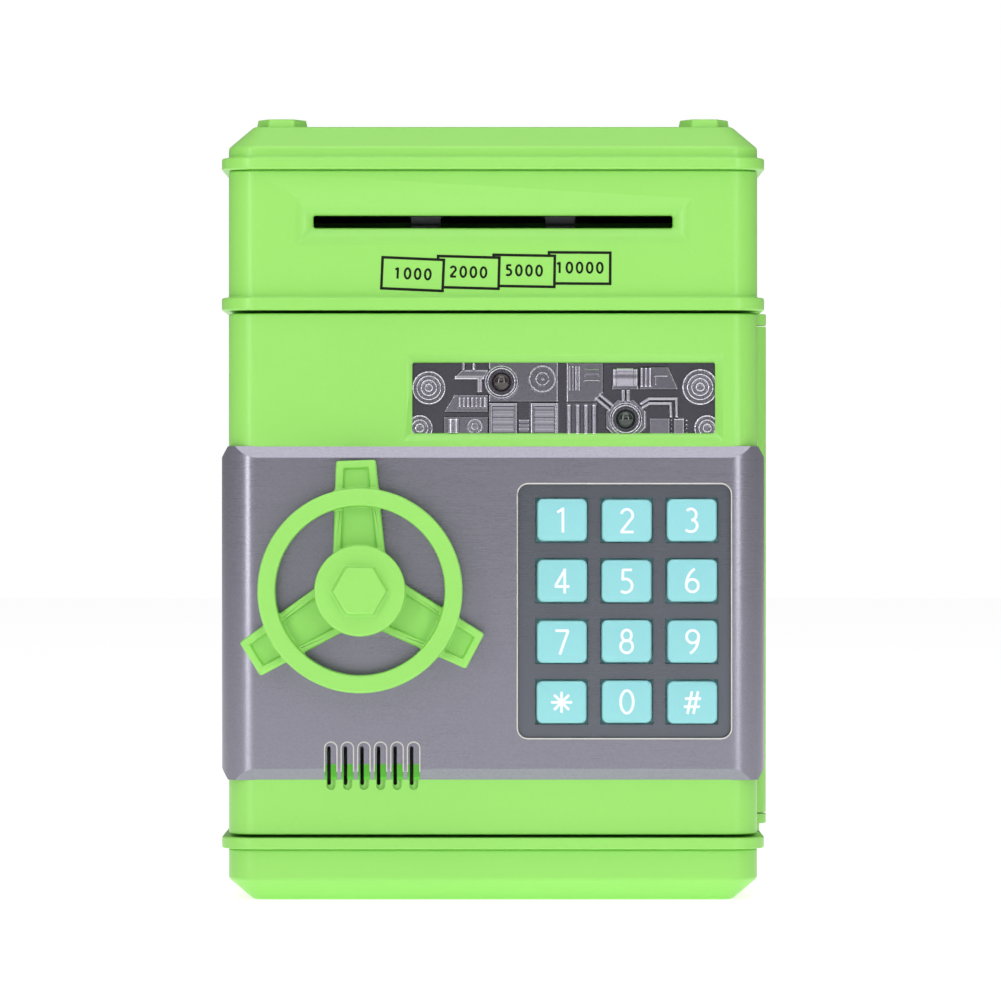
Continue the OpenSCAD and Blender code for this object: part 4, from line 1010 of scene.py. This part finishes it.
# The panel with the knob, its two louvred grilles and the channel between them
lift(block(-1.1, 15.9, 121.3, 131.6), 0.5)
lift(pipe_ring(12.0, 127.0, 3.1, 0.4), 0.95)
lift(pipe_ring(12.0, 127.0, 1.5, 0.3), 0.9)
lift(disc(12.0, 127.0, 0.6), 0.75)
for x0, x1 in ((-1.1, 6.0), (9.1, 15.9)):
    lift(block(x0, x1, 113.0, 121.2), 0.75)
    press(block(x0 + 0.8, x1 - 0.8, 113.0, 120.5), 0.3)
    slats(block(x0 + 0.9, x1 - 0.9, 113.1, 120.4), 8, 113.1, 120.4, 0.3, 0.3)
press(block(6.3, 8.8, 113.0, 121.0), 0.05)
slats(block(6.3, 8.8, 113.0, 117.2), 4, 113.0, 117.2, 0.3, 0.1)
press(block(16.2, 17.6, 113.0, 131.6), 0.0)
# The right-hand panel with a cut corner, its ribs and bars
lift(shape((17.8, 121.3), (17.8, 131.0), (26.9, 131.0), (26.9, 123.6), (25.0, 121.3)), 0.55)
bars(block(18.3, 21.3, 124.0, 130.2), 4, 18.3, 21.3, True, 0.5, 0.6)
for z in (129.2, 127.9, 126.6):
    lift(pipe(0.3, (22.4, z), (25.7, z)), 0.95, 0.25)
lift(block(17.8, 25.4, 113.0, 121.2), 0.3)
for x in (18.5, 20.6, 22.6, 24.6):
    drum(x - 0.62, x + 0.62, 113.4, 120.8, True, 0.75, 0.3)
# A motor on its bed, with its shaft down to the second lamp
lift(block(28.8, 35.5, 124.3, 126.6), 0.5)
drum(29.1, 35.3, 125.0, 129.6, False, 1.0, 0.2)
drum(30.0, 34.3, 124.9, 129.8, False, 1.1, 0.28)
for x in (31.7, 32.9):
    drum(x - 0.55, x + 0.55, 121.2, 124.5, True, 0.6, 0.3)
# Ribs and a slanted panel beside the motor
lift(shape((35.5, 124.3), (35.5, 130.0), (42.7, 130.0), (45.2, 124.3)), 0.5)
bars(block(35.7, 38.7, 124.9, 129.8), 3, 35.7, 38.7, True, 0.5, 0.6)
lift(pipe(0.35, (39.4, 127.6), (42.2, 127.6)), 0.85)
lift(pipe(0.3, (39.6, 127.6), (39.6, 125.6)), 0.85)
lift(pipe(0.25, (40.8, 127.6), (40.8, 126.7)), 0.85)
# The eight-sided bed of the second lamp, and the pipes that leave it
lift(shape(*[(32.3 + 5.3 * math.cos(t), 117.1 + 5.3 * math.sin(t))
             for t in -np.arange(8) * math.pi / 4 - math.pi / 8]), 0.55)
for off in (-0.45, 0.45):
    raise_bar(pipe(0.5, (25.6 + off, 122.6 + off), (28.9 + off, 119.9 + off)), 0.85, 0.5)
for out in (0.0, 1.4):
    turn_in = (36.4 - out * 0.2, 120.0 + out * 0.7)
    route = (turn_in, (38.0, 121.0 + out * 0.8), (43.2 + out, 121.0 + out * 0.8), (43.3 + out, 117.9))
    raise_bar(pipe(0.5, *route), 0.9, 0.5)
lift(block(38.0, 43.1, 113.0, 117.5), 0.7)
lift(block(43.9, 46.6, 113.4, 117.4), 0.85)
for z in np.arange(4) * 1.0 + 113.9:
    for x in (43.4, 47.1):
        lift(disc(x, z, 0.3), 0.7, 0.15)

# %% Rims of the lamps, then the plate
for lamp in ("red_led", "green_led"):
    low, high = reach(lamp)
    x, z = (low[0] + high[0]) / 2, (low[2] + high[2]) / 2
    press(disc(x, z, 4.4), 0.5, 0.3)
    outer = np.maximum(0.6, 1.1 * bulge(pipe_ring(x, z, 3.85, 0.3), 0.3))
    relief = np.where(disc(x, z, 4.15) > 0, outer, relief)
    raise_bar(pipe_ring(x, z, 3.3, 0.33), 1.36, 0.33)
    press(disc(x, z, 3.05), 0.05, 0.2)
    print(lamp, "rim at", round(x, 2), round(z, 2))


def plate_skin(height, back):
    """The lifted sheet as the front of a solid: its border is folded back and closed with one face."""
    front = upright(X, plate_face - height, Z)
    tall, wide = X.shape
    edge = np.pad(front, ((1, 1), (1, 1), (0, 0)), mode="edge")
    edge[[0, -1], :, 1] = back
    edge[:, [0, -1], 1] = back
    count = np.arange((tall + 2) * (wide + 2)).reshape(tall + 2, wide + 2)
    border = np.concatenate([count[:-1, 0], count[-1, :-1], count[:0:-1, -1], count[0, :0:-1]])
    return edge.reshape(-1, 3), [grid_faces(tall + 2, wide + 2), border[None, :]]


relief = np.minimum(relief, 1.38)
sheet = piece("relief_sheet", [plate_skin(relief, plate_high[1])], "door", plate_metal,
              ["relief_plate"])
# Painted highlight on the edges: where the height bends outwards, -(d2h/dx2 + d2h/dz2) is large
bend = -(np.gradient(np.gradient(relief, columns, axis=1), columns, axis=1)
         + np.gradient(np.gradient(relief, rows, axis=0), rows, axis=0))
edge_highlight = np.pad(np.clip((bend - 2.5) / 11.0, 0, 1), 1)
sheet.data.attributes.new("edge", "FLOAT", "POINT").data.foreach_set("value", edge_highlight.ravel())
print("relief sheet:", X.size, "points, highest", round(float(relief.max()), 2), "mm")

# %% [markdown]
# ## Trim of the keypad
#
# A thin bead runs round the mouth of the keypad's pan. Its colour is brighter than the band's, a painted
# highlight, so it reads as a fine bright line. It is a half-round carried round a rounded rectangle, closed
# both ways.

# %% The bead
pan_corner, bead_radius = 2.6, 0.2


def bead(width, height, corner, middle, radius):
    """A round bar of the given radius whose middle line is a rounded rectangle in the plane of the door.

    Its last ring joins the first, so its grid wraps both ways."""
    rings = []
    for angle in np.linspace(0, 2 * math.pi, 13)[:-1]:
        grow = radius * math.cos(angle)
        flat = outline(width + 2 * grow, height + 2 * grow, corner + grow)
        depth = middle[1] + radius * math.sin(angle)
        rings.append(upright(middle[0] + flat[:, 0], depth, middle[2] + flat[:, 1]))
    return np.concatenate(rings), [grid_faces(len(rings), len(rings[0]), True, True)]


bead_place = (pan_middle[0], band_front + 0.05, pan_middle[2])
round_pan = bead(pan_size[0], pan_size[2], pan_corner, bead_place, bead_radius)
piece("keypad_bead", [round_pan], "door", highlight_trim)

# %% Rims of the speaker slots: strips in the trim colour, painted highlights on the slots' edges
slot_reach, slot_foot, slot_head = 1.5, 31.6, 37.3     # half a rim's width, its foot and its round head
rim_width, rim_lift = 0.3, 0.08
over = arc(0, slot_head, slot_reach, slot_reach, 180, 0, 13)
rim_path = np.concatenate([[(-slot_reach, slot_foot)], over, [(slot_reach, slot_foot)]])

rim_highlights = [ribbon(rim_path + (slot_first + slot_pitch * number, 0), rim_width, level(band_front), rim_lift, 0.0)
        for number in range(slot_count)]
piece("slot_rim_highlights", rim_highlights, "door", highlight_trim)
print("bead", np.round(pan_size, 1), "mm")

# %% [markdown]
# ## Leads
#
# Thin stranded leads run from the battery box to the motor, round the hinge to the door, and on to the keys,
# lamps, speaker and solenoid. They are held all the way, so each is a fixed route. Two or three insulated
# wires are twisted along it; a smooth curve through the route's points carries them.

# %% Twisted wires
twist = 11.0          # length of route in which the wires wind round once
route_steps = 14      # points of the curve for each chosen point


def smooth_route(points):
    """A Catmull-Rom curve: between two points, the cubic whose slopes are half the step between the points
    on either side."""
    points = np.array(points, float)
    padded = np.concatenate([2 * points[:1] - points[1:2], points, 2 * points[-1:] - points[-2:-1]])
    t = np.linspace(0, 1, route_steps, endpoint=False)[:, None]
    spans = []
    for a, b, c, d in zip(padded[:-3], padded[1:-2], padded[2:-1], padded[3:]):
        spans.append(0.5 * (2 * b + (c - a) * t + (2 * a - 5 * b + 4 * c - d) * t ** 2
                            + (3 * b - a - 3 * c + d) * t ** 3))
    return np.concatenate(spans + [points[-1:]])


def frames_along(path):
    """The direction of a path and two directions across it, measured from the axis that it follows least."""
    ahead = np.gradient(path, axis=0)
    ahead /= np.linalg.norm(ahead, axis=1, keepdims=True)
    tries = np.array([(1, 0, 0), (0, 1, 0), (0, 0, 1), (0.6, 0.8, 0), (0.6, 0, -0.8), (0, -0.6, 0.8)])
    reference = tries[np.abs(ahead @ tries.T).max(axis=0).argmin()]
    first = np.cross(ahead, reference)
    first /= np.linalg.norm(first, axis=1, keepdims=True)
    return first, np.cross(ahead, first)


def wires(route, radius, count):
    """Count wires wound round a route inside a radius: each is a circle carried along its own helix."""
    path = smooth_route(route)
    along = np.concatenate([[0], np.cumsum(np.linalg.norm(np.diff(path, axis=0), axis=1))])
    first, second = frames_along(path)
    wire = radius * (0.5 if count == 2 else 0.46)
    skins = []
    for number in range(count):
        phase = 2 * math.pi * (along / twist + number / count)[:, None]
        middle = path + (radius - wire) * (np.cos(phase) * first + np.sin(phase) * second)
        across, up = frames_along(middle)
        turn = np.linspace(0, 2 * math.pi, 9)[None, :-1, None]
        ring = wire * (np.cos(turn) * across[:, None] + np.sin(turn) * up[:, None])
        skins.append(loft(middle[:, None] + ring))
    return skins


def lead_tone(tree, colour):
    """Each wire has its own colour, from the attribute that numbers the wires."""
    number = named(tree, "wire")
    second = mixed(tree, maths(tree, "GREATER_THAN", number, 0.5), colour, rgb(30, 30, 32))
    return mixed(tree, maths(tree, "GREATER_THAN", number, 1.5), second, rgb(226, 224, 216))


lead_sleeve = finish("wire_sleeve", moulded, 0.000003, (), lead_tone, Colour=rgb(196, 34, 30), Shade=0.08,
                     Grain=1600.0, Gloss=0.4)

battery_to_hinge = [(28.6, 38, 60), (33, 38, 61.5), (40, 40, 78), (52, 43, 92), (58, 40, 110), (59, 20, 124),
                    (59, 2, 128), (59, -9, 124), (58.6, -14, 118), (57.4, -16.7, 112.6)]
battery_to_motor = [(58, 40, 110), (56, 38, 124), (50, 36, 136), (44, 34.5, 144), (41, 30, 150),
                    (38, 14, 152), (34, 0, 152), (26, -8, 152.5), (18.5, -12, 153), (16, -17, 153.6),
                    (17, -21.4, 154), (21.5, -21.9, 154)]
round_the_hinge = [(57.4, -16.7, 112.6), (56, -19, 108), (55, -22, 104), (54, -25, 102), (52.8, -27.2, 102.5),
                   (50, -29.6, 106), (46, -33, 108.5)]
hinge_to_board = [(46, -33, 108.5), (40, -37, 110), (33, -40, 108), (28, -41.5, 102), (26, -43, 97),
                  (25, -44, 95.2)]
to_lamps = [(10, -42.9, 116), (8, -41, 112), (8, -40.5, 107), (9, -42, 103), (10, -44.2, 101)]
to_speaker = [(-22, -42, 36), (-12, -40, 42), (-4, -41, 50), (3, -42.5, 53), (8, -43.6, 54)]
to_solenoid = [(-26, -36.5, 111.2), (-18, -37, 112), (-8, -39, 108), (2, -41, 98), (10, -43.6, 93)]


def lead_piece(name, runs, body, node):
    """Twisted wires along each run, numbered by an attribute, in place of the plain tubes of a node."""
    skins, numbers = [], []
    for route, radius, count in runs:
        made = wires(route, radius, count)
        skins += made
        numbers += [np.full(len(skin[0]), number, np.float32) for number, skin in enumerate(made)]
    thing = piece(name, skins, body, lead_sleeve, [node])
    thing.data.attributes.new("wire", "FLOAT", "POINT").data.foreach_set("value", np.concatenate(numbers))
    return thing


lead_piece("leads_in_case", [(battery_to_hinge, 0.9, 3), (battery_to_motor, 0.7, 2)], "case", "case_leads")
lead_piece("leads_in_door", [(hinge_to_board, 0.9, 3), (to_lamps, 0.6, 2), (to_speaker, 0.6, 2),
                             (to_solenoid, 0.6, 2)], "door", "door_leads")
loop = lead_piece("leads_round_hinge", [(round_the_hinge, 0.9, 3)], None, "hinge_leads")
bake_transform(loop)
print("leads:", len(loop.data.vertices), "points in the loop round the hinge")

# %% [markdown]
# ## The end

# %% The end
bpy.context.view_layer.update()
